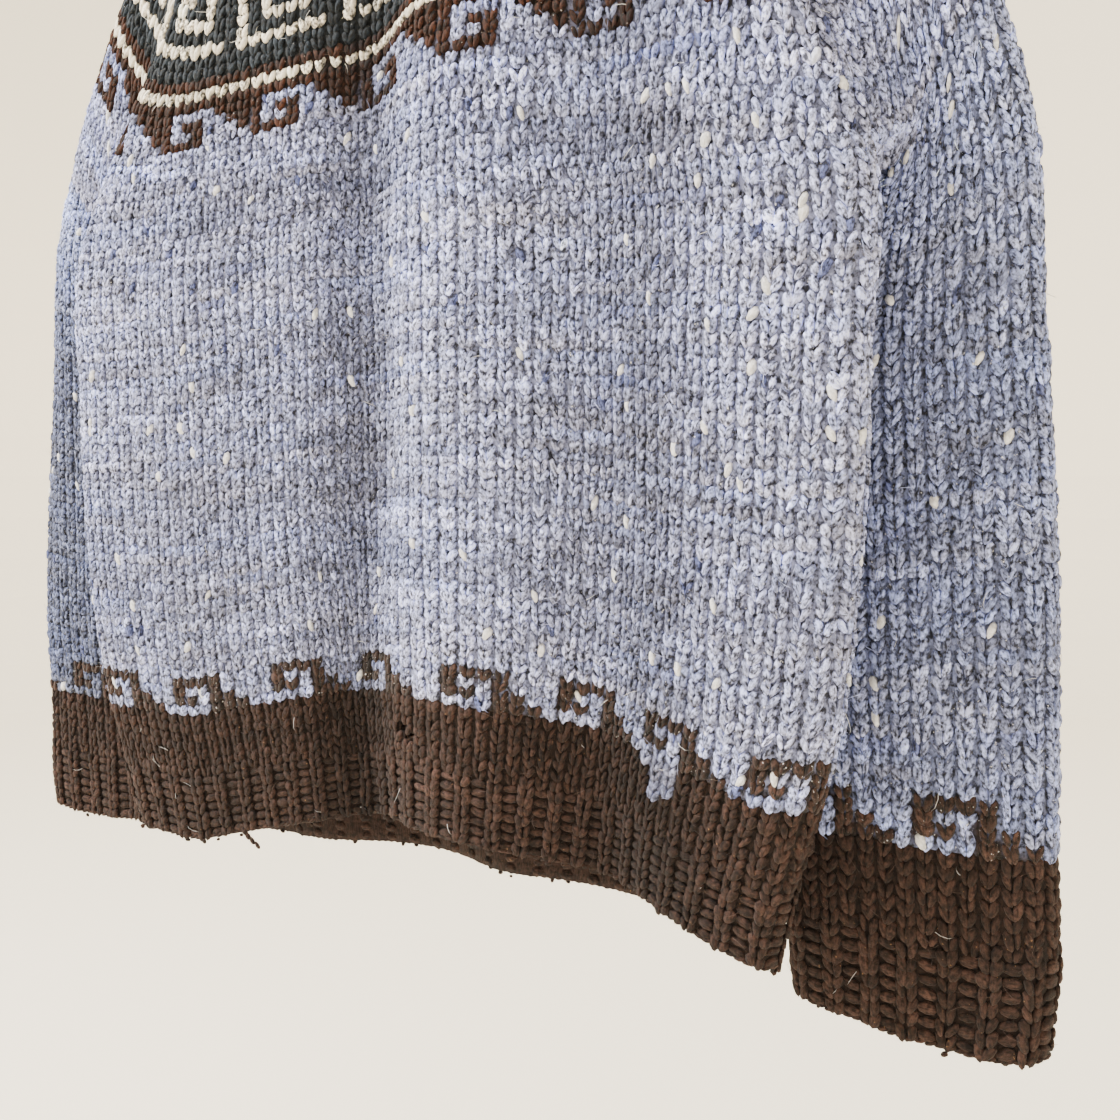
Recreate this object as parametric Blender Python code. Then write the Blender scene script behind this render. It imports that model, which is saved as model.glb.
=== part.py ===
"""A bulky hand-knitted wool pullover with a round yoke, hanging on a plain hanger.

Metres, +Z up, front towards -Y. The origin is the top of the hook's bend, where a rail
would hold it. Levels are heights above the row where the sleeves join the body. The body,
yoke and sleeves are closed rings of cloth, each worked out from its row in a table.
"""

import math

import bmesh
import bpy
import numpy as np

WALL = 0.0045  # thickness of the knitted cloth
SEAM = 0.0003  # gap that parts two pieces
JOIN_Z = -0.365  # height of level 0
RIB_LIFT = 0.0016  # how far a rib stands out of the cloth
STITCH = 0.0096  # width of one stitch
FINE = 240  # points on the outline of half a ring
HEM_DROP = 0.40  # from level 0 down to the hem, for what changes along the body
NECK_RISE = 0.30  # from level 0 up to the neck

# Half of the body's section: a flattened ring that swings forward at the sides
SQUARENESS = 2.4
MIDDLE_Y = -0.008
BODY = (
    # level, half width, half depth, swing forward at the side
    (-0.410, 0.238, 0.031, 0.026),
    (-0.360, 0.250, 0.033, 0.029),
    (-0.300, 0.267, 0.035, 0.032),
    (-0.200, 0.280, 0.036, 0.034),
    (-0.100, 0.283, 0.036, 0.034),
    (0.000, 0.280, 0.036, 0.032),
    (0.040, 0.262, 0.035, 0.028),
    (0.085, 0.235, 0.033, 0.022),
    (0.120, 0.216, 0.031, 0.014),
    (0.160, 0.200, 0.029, 0.006),
    (0.210, 0.188, 0.027, 0.001),
    (0.310, 0.176, 0.026, 0.000),
)

# Soft upright folds. A positive depth is a trough, a negative one a swell.
FRONT_FOLDS = (
    # x at the hem, x at the join, half width, depth at the hem, at the join, at the neck
    (-0.037, -0.022, 0.030, 0.021, 0.019, 0.004),
    (0.142, 0.134, 0.032, 0.017, 0.012, 0.001),
    (-0.170, -0.160, 0.055, -0.006, -0.006, 0.000),
    (0.056, 0.050, 0.045, -0.012, -0.010, -0.001),
    (0.246, 0.225, 0.034, -0.008, -0.007, 0.000),
)
BACK_FOLDS = (
    (-0.105, -0.090, 0.034, 0.011, 0.008, 0.001),
    (0.048, 0.060, 0.036, 0.013, 0.009, 0.001),
    (-0.030, -0.020, 0.045, -0.005, -0.004, 0.000),
    (0.150, 0.140, 0.040, -0.005, -0.004, 0.000),
)

# The hem and the rows above it arch up in the middle of the front.
ARCH_X = 0.035
ARCH_REACH = 0.205
ARCH_AT_HEM = 0.038
ARCH_AT_JOIN = 0.010
SIDE_X, SIDE_FADE = 0.27, 0.08  # the yoke's rows settle towards this x
STEP_UP = 0.009  # the yoke's rows lie higher to the right of the middle fold
STEP_X, STEP_SOFTNESS = -0.01, 0.03
STEP_LEVEL, STEP_REACH = 0.09, 0.06
BACK_WAVER = 0.004  # how unevenly the back's hem hangs

# Where the front turns back into the sleeve, and the same at the back
CREASE_START = 0.006
FRONT_CREASE = 0.020
BACK_CREASE = 0.034
BACK_CREASE_SHARE = 0.80

# The line over each shoulder and down the sleeve, which every yoke ring crosses
SHOULDER = (
    # ring, x, level, y, half depth of the cloth there, reach of the rounding
    (0.00, 0.325, 0.075, 0.020, 0.020, 0.045),
    (0.14, 0.311, 0.112, 0.015, 0.020, 0.042),
    (0.28, 0.293, 0.150, 0.010, 0.019, 0.038),
    (0.42, 0.270, 0.188, 0.005, 0.018, 0.032),
    (0.55, 0.241, 0.219, 0.001, 0.018, 0.026),
    (0.68, 0.205, 0.242, 0.000, 0.018, 0.024),
    (0.84, 0.147, 0.266, 0.000, 0.018, 0.024),
    (1.00, 0.088, 0.290, 0.000, 0.018, 0.024),
)
FRONT_NECK = 0.250
BACK_NECK = 0.300

SLEEVE = (
    # fall, outer x, outer level, inner x, inner level, y, half depth, reach of the rounding
    (0.00, 0.325, 0.075, 0.215, 0.000, 0.020, 0.020, 0.045),
    (0.12, 0.341, 0.015, 0.212, -0.040, 0.022, 0.020, 0.045),
    (0.30, 0.349, -0.083, 0.211, -0.116, 0.022, 0.020, 0.045),
    (0.50, 0.357, -0.182, 0.213, -0.204, 0.022, 0.020, 0.045),
    (0.70, 0.361, -0.281, 0.218, -0.290, 0.022, 0.020, 0.042),
    (0.80, 0.362, -0.334, 0.222, -0.336, 0.022, 0.019, 0.040),
    (0.92, 0.364, -0.399, 0.226, -0.396, 0.022, 0.018, 0.036),
    (1.00, 0.361, -0.443, 0.230, -0.436, 0.022, 0.017, 0.034),
)
SLEEVE_FOLDS = (
    # place across from the inner edge -1 to the outer 1, half width, depth
    (-0.35, 0.30, 0.006),
    (0.30, 0.28, 0.004),
)
SLEEVE_WANDER = 0.12  # how far the sleeve's folds stray sideways
SLEEVE_LENGTH = 0.45
CUFF_BOW = 0.006  # the cuff's edge hangs lower in its middle

# The left sleeve hangs further out, a little further forward and higher at its cuff.
SWING_OUT = 0.040
SWING_IN_AT_CUFF = 0.010
SWING_FORWARD = 0.008
SWING_TOP, SWING_REACH = 0.26, 0.25
LEFT_RAISE = 0.020

# Bands
HALF_HEM = 0.535  # half way round the hem
HEM_TOP = -0.318
BACK_HEM_EDGE = -0.408
FRONT_HEM_EDGE = -0.404
CUFF_TOP = 0.815
RIB_START = 0.42  # share of a band that is plain before its ribs start
NECKBAND = 0.030
NECKBAND_TAPER_X = 0.07
NECKBAND_TAPER_Y = 0.14
NECKBAND_SEAT = 0.012  # stretch by the shoulder line where it sits on the two walls' ridge

# A snag in the hem's front
SNAG_X, SNAG_LEVEL = 0.015, -0.334
SNAG_WIDTH, SNAG_LENGTH, SNAG_TURN = 0.0050, 0.0110, 0.75

# Hanger
BAR_RADIUS = 0.0065
BAR_SEAT = 0.0010  # below the cloth on the shoulder line, where its facets dip least
BAR_FIRST_RING = 0.70
HOOK_RADIUS = 0.022
WIRE_RADIUS = 0.002
HOOK_END = math.radians(205)

# Columns of the cloth's faces
BODY_COLUMNS, BODY_END_STEPS = 36, (0.006, 0.014, 0.024)
YOKE_COLUMNS, YOKE_END_STEPS = 60, (0.003, 0.007, 0.012, 0.018, 0.026)
MEETING_COLUMNS = 8  # of the sleeve's columns, those that meet the yoke's
SLEEVE_COLUMNS = 15
CUFF_COLUMNS = 28
NECK_COLUMNS = 30

COLOURS = {
    # name: base colour, roughness, metallic
    "blue_tweed": ((0.235, 0.265, 0.355), 0.95, 0.0),
    "brown_wool": ((0.045, 0.026, 0.018), 0.95, 0.0),
    "navy_wool": ((0.030, 0.040, 0.058), 0.95, 0.0),
    "plain_wood": ((0.480, 0.300, 0.150), 0.50, 0.0),
    "steel_wire": ((0.560, 0.570, 0.580), 0.30, 1.0),
}


def smooth(value):
    """A soft step from 0 to 1."""
    value = np.clip(value, 0, 1)
    return value * value * (3 - 2 * value)


def read(rows, column, at):
    """One column of a table as a smooth curve of its first column."""
    keys = np.array([row[0] for row in rows])
    values = np.array([row[column] for row in rows])
    slopes = np.gradient(values, keys)
    at = np.clip(at, keys[0], keys[-1])
    k = np.clip(np.searchsorted(keys, at) - 1, 0, len(keys) - 2)
    step = keys[k + 1] - keys[k]
    t = (at - keys[k]) / step
    start = values[k] * (1 + 2 * t) * (1 - t) ** 2 + slopes[k] * step * t * (1 - t) ** 2
    end = values[k + 1] * t * t * (3 - 2 * t) + slopes[k + 1] * step * t * t * (t - 1)
    return start + end


def cap(distance, reach):
    """Half depth near an edge, rising from 0 in a quarter ellipse."""
    return np.sqrt(1 - (1 - np.clip(distance / reach, 0, 1)) ** 2)


def folds(table, x, level):
    """How far the upright folds push the cloth in."""
    total = 0
    low = np.clip(-level / HEM_DROP, 0, 1)
    high = np.clip(level / NECK_RISE, 0, 1)
    for hem_x, join_x, width, hem_depth, join_depth, neck_depth in table:
        middle = join_x + (hem_x - join_x) * low + 0.004 * np.sin(22 * level + 40 * hem_x)
        depth = join_depth + (hem_depth - join_depth) * low + (neck_depth - join_depth) * high
        total = total + depth * np.exp(-(((x - middle) / width) ** 2))
    return total


def rise(x, level, front):
    """How far a row lies above its level."""
    if not front:
        return BACK_WAVER * np.sin(9 * x + 1) * np.clip(-level / HEM_DROP, 0, 1)
    low = np.clip(-level / HEM_DROP, 0, 1)
    high = np.clip(level / FRONT_NECK, 0, 1)
    height = (ARCH_AT_JOIN + (ARCH_AT_HEM - ARCH_AT_JOIN) * low) * (1 - high)
    reach = np.clip((x - ARCH_X) / ARCH_REACH, -1, 1)
    arch = height * np.sqrt((1 + np.cos(math.pi * reach)) / 2)
    side = np.clip((SIDE_X - np.abs(x)) / SIDE_FADE, 0, 1)
    step_up = STEP_UP * np.tanh((x - STEP_X) / STEP_SOFTNESS)
    return arch + step_up * side * np.exp(-(((level - STEP_LEVEL) / STEP_REACH) ** 2))


def body_y(x, level, front):
    """Depth of the body's cloth at x, on a level."""
    share = np.clip(np.abs(x) / read(BODY, 1, level), 0, 1)
    rounding = (1 - share**SQUARENESS) ** (1 / SQUARENESS)
    middle = MIDDLE_Y - read(BODY, 3, level) * share**3
    depth = read(BODY, 2, level) * rounding
    if front:
        return middle - depth + folds(FRONT_FOLDS, x, level) * rounding
    return middle + depth - folds(BACK_FOLDS, x, level) * rounding


def swing(level, side):
    """Shift of the left sleeve, out and forward. The right one has none."""
    if side > 0:
        return 0.0, 0.0
    part = smooth((SWING_TOP - level) / SWING_REACH)
    back_in = smooth((-0.25 - level) / 0.15)
    return SWING_OUT * part - SWING_IN_AT_CUFF * back_in, -SWING_FORWARD * part


def body_half(level, front):
    """The outline of half of the body's ring, from its left side to its right."""
    turn = np.linspace(math.pi, 0, 2 * FINE + 1)
    across = np.sign(np.cos(turn)) * np.abs(np.cos(turn)) ** (2 / SQUARENESS)
    x = read(BODY, 1, level) * across
    y = body_y(x, level, front)
    z = JOIN_Z + level + rise(x, level, front)
    return np.stack([x, y, z], 1)


def yoke_side(ring, front, side):
    """A yoke ring's outline from the middle out to one shoulder line, side -1 or 1."""
    top_level = read(SHOULDER, 2, ring)
    out, forward = swing(top_level, side)
    reach_x = read(SHOULDER, 1, ring) + out
    top_y = read(SHOULDER, 3, ring) + forward
    level = (FRONT_NECK if front else BACK_NECK) * ring
    run = np.linspace(0, 1, FINE + 1)
    x = reach_x * (2 * run - run**2)
    edge = read(BODY, 1, FRONT_NECK * ring)
    if not front:
        edge = edge * BACK_CREASE_SHARE
    start = edge - CREASE_START
    turned = smooth((x - start) / (reach_x - start))
    bent = (x / reach_x) ** (7 - 2 * ring)
    mixed = smooth(ring / 0.6)
    lift = (1 - mixed) * turned + mixed * bent
    height = level + (top_level - level) * lift
    away = np.hypot(reach_x - x, top_level - height)
    body = body_y(side * x, FRONT_NECK * ring, front)
    half = read(SHOULDER, 4, ring)
    sleeve = top_y - half if front else top_y + half
    crease = smooth((x - start) / (FRONT_CREASE if front else BACK_CREASE))
    y = body + (sleeve - body) * crease
    y = top_y + (y - top_y) * cap(away, read(SHOULDER, 5, ring))
    z = JOIN_Z + height + rise(side * x, FRONT_NECK * ring, front) * (1 - crease)
    return np.stack([side * x, y, z], 1)


def yoke_half(ring, front):
    """The outline of half a yoke ring, from the left shoulder line to the right."""
    left = yoke_side(ring, front, -1)
    right = yoke_side(ring, front, 1)
    return np.concatenate([left[:0:-1], right])


def sleeve_half(fall, front, side):
    """The outline of half a sleeve ring, from its outer edge to its inner edge."""
    outer_x, outer_level, inner_x, inner_level, y, half, reach = (
        read(SLEEVE, column, fall) for column in range(1, 8)
    )
    out, forward = swing(outer_level, side)
    outer_x, inner_x, y = outer_x + out, inner_x + out, y + forward
    turn = np.linspace(0, math.pi, 2 * FINE + 1)
    place = np.cos(turn)
    x = (outer_x + inner_x) / 2 + place * (outer_x - inner_x) / 2
    straight = inner_level + (outer_level - inner_level) * (place + 1) / 2
    start = read(BODY, 1, 0.0) * (1 if front else BACK_CREASE_SHARE) - CREASE_START
    joined = inner_level + (outer_level - inner_level) * smooth((x - start) / (outer_x - start))
    level = joined + (straight - joined) * smooth(fall / 0.35)
    level = level - CUFF_BOW * (1 - place**2) * fall**8
    if side < 0:
        level = level + LEFT_RAISE * fall**2
    rounding = cap(np.hypot(outer_x - x, outer_level - level), reach)
    rounding = rounding * cap(np.hypot(x - inner_x, level - inner_level), reach)
    depth = half
    for middle, width, trough in SLEEVE_FOLDS:
        away = place - middle - SLEEVE_WANDER * math.sin(7 * fall + 3 * side)
        depth = depth - trough * smooth(fall / 0.2) * np.exp(-((away / width) ** 2))
    y = y + (-depth if front else depth) * rounding
    return np.stack([side * x, y, JOIN_Z + level], 1)


def along(outline, places):
    """Points of an outline at lengths that places() chooses from its whole length."""
    steps = np.linalg.norm(np.diff(outline, axis=0), axis=1)
    run = np.concatenate([[0], np.cumsum(steps)])
    at = places(run[-1])
    return np.stack([np.interp(at, run, outline[:, axis]) for axis in range(3)], 1)


def even(count, gap=SEAM / 2):
    """Evenly spaced places that leave half a seam at each end."""
    return lambda length: np.linspace(gap, length - gap, count + 1)


def close_at_ends(count, near):
    """Places that start and end with short steps, for a tight bend at both ends."""
    ends = np.array((SEAM / 2, *near))

    def places(length):
        inner = np.linspace(near[-1], length - near[-1], count - 2 * len(near) + 1)[1:-1]
        return np.concatenate([ends, inner, length - ends[::-1]])

    return places


def rib_wave(columns, rows_share):
    """Rib height for each row and column: none in the plain share, then ribs."""
    grown = smooth((rows_share - RIB_START) / 0.15)[:, None]
    return RIB_LIFT * grown * np.cos(math.pi * np.arange(columns))[None, :]


def normals_of(grid):
    """Outward directions at the points of a grid that closes round a tube."""
    across = np.roll(grid, -1, 1) - np.roll(grid, 1, 1)
    up = np.gradient(grid, axis=0)
    normal = np.cross(across, up)
    return normal / np.linalg.norm(normal, axis=2, keepdims=True)


def material_of(name):
    """A plain material in the part's colour."""
    if name in bpy.data.materials:
        return bpy.data.materials[name]
    colour, roughness, metallic = COLOURS[name]
    material = bpy.data.materials.new(name)
    material.use_nodes = True
    shader = material.node_tree.nodes["Principled BSDF"]
    shader.inputs["Base Color"].default_value = (*colour, 1)
    shader.inputs["Roughness"].default_value = roughness
    shader.inputs["Metallic"].default_value = metallic
    material.diffuse_color = (*colour, 1)
    return material


def add_object(name, mesh, material, collection):
    """A named object for a mesh."""
    part = bpy.data.objects.new(name, mesh)
    mesh.materials.clear()
    mesh.materials.append(material_of(material))
    collection.objects.link(part)
    return part


def knit_wall(name, grid, normals, material, collection, closed=False, ribs=0.0):
    """A wall of cloth round a grid of middle points. Ribs lift its outer side only."""
    rows, columns = grid.shape[:2]
    lift = ribs[:, :, None] if isinstance(ribs, np.ndarray) else 0.0
    outer = grid + normals * (WALL / 2 + lift)
    inner = grid - normals * WALL / 2
    mesh = bmesh.new()
    skins = [[[mesh.verts.new(p) for p in row] for row in skin] for skin in (outer, inner)]
    spans = columns if closed else columns - 1

    def quad(a, b, c, d):
        mesh.faces.new((a, b, c, d))

    for r in range(rows - 1):
        for c in range(spans):
            n = (c + 1) % columns
            for skin, flip in zip(skins, (False, True)):
                corners = (skin[r][c], skin[r][n], skin[r + 1][n], skin[r + 1][c])
                quad(*(corners[::-1] if flip else corners))
        if not closed:
            quad(skins[1][r][0], skins[0][r][0], skins[0][r + 1][0], skins[1][r + 1][0])
            last = columns - 1
            quad(skins[0][r][last], skins[1][r][last], skins[1][r + 1][last], skins[0][r + 1][last])
    for r, flip in ((0, False), (rows - 1, True)):
        for c in range(spans):
            n = (c + 1) % columns
            corners = (skins[1][r][c], skins[1][r][n], skins[0][r][n], skins[0][r][c])
            quad(*(corners[::-1] if flip else corners))
    bmesh.ops.recalc_face_normals(mesh, faces=mesh.faces)
    data = bpy.data.meshes.new(name)
    mesh.to_mesh(data)
    mesh.free()
    data.shade_smooth()
    data.set_sharp_from_angle(angle=math.radians(50))
    return add_object(name, data, material, collection)


def halved(outlines, places, flip):
    """A grid with one row for each outline."""
    grid = np.stack([along(outline, places) for outline in outlines])
    return grid[:, ::-1] if flip else grid


def half_normals(half_outline, keys, places, flip, key_step=0.002):
    """Directions of half a ring that meet the next piece's at its seams."""
    below = halved([half_outline(key - key_step) for key in keys], places, flip)
    above = halved([half_outline(key + key_step) for key in keys], places, flip)
    grid = halved([half_outline(key) for key in keys], places, flip)
    across = np.gradient(grid, axis=1)
    normal = np.cross(across, above - below)
    return normal / np.linalg.norm(normal, axis=2, keepdims=True)


def build_body(collection):
    """Front and back of the tube between the hem band and the join."""
    levels = np.linspace(HEM_TOP + SEAM / 2, -SEAM / 2, 9)
    places = close_at_ends(BODY_COLUMNS, BODY_END_STEPS)
    for front in (True, False):
        def outline(level, front=front):
            return body_half(level, front)

        grid = halved([outline(level) for level in levels], places, not front)
        normals = half_normals(outline, levels, places, not front)
        normals = level_ends(square_ends(normals, grid), (-1,))
        knit_wall("body_front" if front else "body_back", grid, normals, "blue_tweed", collection)


def level_ends(normals, rows):
    """Turns the directions of whole seam rows level, so that both sides of a seam agree."""
    for row in rows:
        normals[row, :, 2] = 0
        normals[row] /= np.linalg.norm(normals[row], axis=1, keepdims=True)
    return normals


def square_ends(normals, grid):
    """Turns the first and last column's directions straight out sideways from the ring."""
    for column, side in ((0, grid[:, 0, 0]), (-1, grid[:, -1, 0])):
        level_part = normals[:, column, 2] * 0.5
        sideways = np.stack([np.sign(side), np.zeros(len(side)), level_part], 1)
        normals[:, column] = sideways / np.linalg.norm(sideways, axis=1, keepdims=True)
    return normals


def build_hem(collection):
    """The brown band below the body, plain at its top and ribbed below."""
    count = 2 * round(HALF_HEM / STITCH / 2)
    for front in (True, False):
        edge = FRONT_HEM_EDGE if front else BACK_HEM_EDGE
        levels = HEM_TOP - SEAM / 2 + (edge - HEM_TOP) * np.array([1.0, 0.75, 0.5, 0.25, 0.0])

        def outline(level, front=front):
            return body_half(level, front)

        grid = halved([outline(level) for level in levels], even(count), not front)
        normals = half_normals(outline, levels, even(count), not front)
        normals = square_ends(normals, grid)
        share = (levels - HEM_TOP) / (edge - HEM_TOP)
        lift = rib_wave(count + 1, share)
        name = "hem_band_front" if front else "hem_band_back"
        band = knit_wall(name, grid, normals, "brown_wool", collection, ribs=lift)
        if front:
            cut_snag(band)


def cut_snag(band):
    """A small slanted hole where a stitch has gone."""
    z = JOIN_Z + SNAG_LEVEL + rise(SNAG_X, SNAG_LEVEL, True)
    y = float(body_y(SNAG_X, SNAG_LEVEL, True))
    bpy.ops.mesh.primitive_cylinder_add(vertices=10, radius=0.5, depth=6 * WALL)
    cutter = bpy.context.object
    cutter.name = "snag_cutter"
    cutter.scale = (SNAG_WIDTH, SNAG_LENGTH, 1)
    bpy.ops.object.transform_apply(location=False, rotation=False, scale=True)
    cutter.rotation_euler = (math.pi / 2, SNAG_TURN, 0)
    cutter.location = (SNAG_X, y, float(z))
    cutter.hide_render = True
    cutter.display_type = "WIRE"
    for owner in cutter.users_collection:
        owner.objects.unlink(cutter)
    bpy.data.collections["cutters"].objects.link(cutter)
    cut = band.modifiers.new("snag", "BOOLEAN")
    cut.operation = "DIFFERENCE"
    cut.object = cutter


def build_yoke(collection):
    """Front and back of the round yoke, which meet along the shoulder lines."""
    rings = np.array([0.0, 0.10, 0.20, 0.30, 0.40, 0.50, 0.60, 0.70, 0.80, 0.90, 1.0])
    rings[0] = SEAM / FRONT_NECK
    rings[-1] = 1 - SEAM / FRONT_NECK
    places = close_at_ends(YOKE_COLUMNS, YOKE_END_STEPS)
    for front in (True, False):
        def outline(ring, front=front):
            return yoke_half(ring, front)

        grid = halved([outline(ring) for ring in rings], places, not front)
        normals = half_normals(outline, rings, places, not front, 0.01)
        for column in (0, -1):
            normals[:, column, 1] = 0
            normals[:, column] /= np.linalg.norm(normals[:, column], axis=1, keepdims=True)
        normals = level_ends(normals, (0,))
        knit_wall("yoke_front" if front else "yoke_back", grid, normals, "navy_wool", collection)


def sleeve_shares(front, side, fall):
    """Places round half a sleeve, as shares of its length, that meet the yoke's columns."""
    base = yoke_half(0.0, front)
    length = np.linalg.norm(np.diff(base, axis=0), axis=1).sum()
    meeting = close_at_ends(YOKE_COLUMNS, YOKE_END_STEPS)(length)[:MEETING_COLUMNS]
    top = sleeve_half(fall, front, side)
    top_length = np.linalg.norm(np.diff(top, axis=0), axis=1).sum()
    rest = np.linspace(meeting[-1], top_length, SLEEVE_COLUMNS - MEETING_COLUMNS + 2)[1:]
    shares = np.concatenate([meeting, rest]) / top_length
    shares[0] = 0
    return shares


def sleeve_grid(falls, side):
    """A closed grid round a sleeve, with rows from its lowest ring up."""
    shares = {front: sleeve_shares(front, side, falls.min()) for front in (True, False)}
    rows = []
    for fall in falls:
        halves = []
        for front in (True, False):
            places = shares[front]
            halves.append(along(sleeve_half(fall, front, side), lambda run: run * places))
        ring = np.concatenate([halves[0][:-1], halves[1][:0:-1]])
        rows.append(ring[::-1] if side > 0 else ring)
    return np.stack(rows)


def cuff_grid(falls, side):
    """A closed grid round a cuff band, with two columns for each rib."""
    rows = []
    for fall in falls:
        front = along(sleeve_half(fall, True, side), even(CUFF_COLUMNS // 2, 0))
        back = along(sleeve_half(fall, False, side), even(CUFF_COLUMNS // 2, 0))
        ring = np.concatenate([front[:-1], back[:0:-1]])
        rows.append(ring[::-1] if side > 0 else ring)
    return np.stack(rows)


def build_sleeve(collection, side, name):
    """One sleeve tube and its cuff band."""
    top = SEAM / SLEEVE_LENGTH
    falls = np.array([CUFF_TOP - top, 0.72, 0.62, 0.52, 0.42, 0.32, 0.23, 0.15, 0.08, top])
    grid = sleeve_grid(falls, side)
    normals = level_ends(normals_of(grid), (0, -1))
    knit_wall(f"sleeve_{name}", grid, normals, "blue_tweed", collection, closed=True)
    cuff_falls = np.array([1.0, 0.955, 0.91, 0.86, CUFF_TOP + top])
    grid = cuff_grid(cuff_falls, side)
    share = (cuff_falls - CUFF_TOP) / (1 - CUFF_TOP)
    lift = rib_wave(CUFF_COLUMNS, share)
    normals = level_ends(normals_of(grid), (0, -1))
    knit_wall(f"cuff_{name}", grid, normals, "brown_wool", collection, closed=True, ribs=lift)


def build_neckband(collection):
    """The ribbed band that stands on the yoke's last ring."""
    front = along(yoke_half(1.0, True), even(NECK_COLUMNS, 0))
    back = along(yoke_half(1.0, False), even(NECK_COLUMNS, 0))
    ring = np.concatenate([front[:-1], back[:0:-1]])
    shoulder = read(SHOULDER, 1, 1.0) - np.abs(ring[:, 0])
    seat = WALL / 2 * np.exp(-((shoulder / NECKBAND_SEAT) ** 2)) + 2 * SEAM
    rows = []
    for share in (0.0, 0.5, 1.0):
        taper = np.array((1 - NECKBAND_TAPER_X * share, 1 - NECKBAND_TAPER_Y * share, 1))
        lifted = ring * taper
        lifted[:, 2] += NECKBAND * share + seat
        rows.append(lifted)
    grid = np.stack(rows)
    lift = RIB_LIFT / 2 * np.cos(math.pi * np.arange(2 * NECK_COLUMNS)) * np.ones((3, 1))
    normals = normals_of(grid)
    normals[:, :, 2] = 0
    normals /= np.linalg.norm(normals, axis=2, keepdims=True)
    knit_wall("neckband", grid, normals, "brown_wool", collection, closed=True, ribs=lift)


def wire(name, points, radius, material, collection, resolution=4):
    """A round bar along points, with its ends filled."""
    curve = bpy.data.curves.new(name, "CURVE")
    curve.dimensions = "3D"
    curve.bevel_depth = radius
    curve.bevel_resolution = resolution
    curve.use_fill_caps = True
    spline = curve.splines.new("POLY")
    spline.points.add(len(points) - 1)
    for point, place in zip(spline.points, points):
        point.co = (*place, 1)
    curve.materials.append(material_of(material))
    bar = bpy.data.objects.new(name, curve)
    collection.objects.link(bar)
    return bar


def build_hanger(collection):
    """A one-piece bar under the shoulders and a fixed hook of wire."""
    rings = np.linspace(BAR_FIRST_RING, 1.0, 9)
    line = np.stack([read(SHOULDER, 1, rings), read(SHOULDER, 2, rings)], 1)
    run = np.gradient(line, axis=0)
    run /= np.linalg.norm(run, axis=1, keepdims=True)
    below = np.stack([-run[:, 1], run[:, 0]], 1)
    arm = line + below * (WALL / 2 + BAR_SEAT + BAR_RADIUS)
    neck_x, neck_level = arm[-1]
    slope = -run[-1, 1] / run[-1, 0]
    for share in (0.7, 0.4, 0.15, 0.0):
        x = neck_x * share
        level = neck_level + slope * (neck_x - x) - slope * (neck_x - x) ** 2 / (2 * neck_x)
        arm = np.concatenate([arm, [(x, level)]])
    right = [(x, 0.0, JOIN_Z + level) for x, level in arm]
    left = [(-x, y, z) for x, y, z in right[:-1]]
    wire("hanger_bar", left + right[::-1], BAR_RADIUS, "plain_wood", collection)
    bar_top = right[-1][2] + BAR_RADIUS
    middle_z = WIRE_RADIUS - HOOK_RADIUS
    turns = np.linspace(-math.pi / 2, HOOK_END, 28)
    bend = [(HOOK_RADIUS * math.cos(a), 0.0, middle_z + HOOK_RADIUS * math.sin(a)) for a in turns]
    stem = [(0.0, 0.0, bar_top + SEAM), (0.0, 0.0, (bar_top + bend[0][2]) / 2)]
    wire("hanger_hook", stem + bend, WIRE_RADIUS, "steel_wire", collection)


def main():
    """Clears the scene and makes every piece."""
    for old in list(bpy.data.objects):
        bpy.data.objects.remove(old)
    pullover = bpy.data.collections.new("knit_pullover")
    cutters = bpy.data.collections.new("cutters")
    bpy.context.scene.collection.children.link(pullover)
    bpy.context.scene.collection.children.link(cutters)
    build_body(pullover)
    build_hem(pullover)
    build_yoke(pullover)
    build_sleeve(pullover, -1, "left")
    build_sleeve(pullover, 1, "right")
    build_neckband(pullover)
    build_hanger(pullover)


main()
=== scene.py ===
"""The looks of a bulky hand-knitted wool pullover with a round yoke, on a plain hanger.

Every stitch is a pair of plump yarn legs on a thin ground of cloth. Stitches are laid in
rows and columns on the same rings of cloth as the solids, and their colours follow small
charted knitting patterns.
"""

import math

import bpy
import numpy as np
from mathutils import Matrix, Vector


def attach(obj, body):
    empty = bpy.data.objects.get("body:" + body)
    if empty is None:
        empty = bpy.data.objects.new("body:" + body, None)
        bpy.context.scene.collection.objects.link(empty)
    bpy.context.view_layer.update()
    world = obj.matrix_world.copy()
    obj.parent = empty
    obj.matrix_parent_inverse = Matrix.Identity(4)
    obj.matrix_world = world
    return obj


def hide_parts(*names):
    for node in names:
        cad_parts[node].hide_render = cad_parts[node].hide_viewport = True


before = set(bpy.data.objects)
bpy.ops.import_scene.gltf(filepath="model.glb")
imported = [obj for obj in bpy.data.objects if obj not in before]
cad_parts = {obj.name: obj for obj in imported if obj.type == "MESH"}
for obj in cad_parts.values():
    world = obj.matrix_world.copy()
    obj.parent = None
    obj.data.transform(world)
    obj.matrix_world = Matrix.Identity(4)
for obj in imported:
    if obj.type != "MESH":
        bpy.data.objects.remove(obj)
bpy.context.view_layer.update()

# Sizes shared with the solids, in metres. Levels are heights above the underarm row.
WALL = 0.0045
JOIN_Z = -0.365
FINE = 240  # steps of half an outline
HEM_DROP = 0.40
NECK_RISE = 0.30

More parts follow.
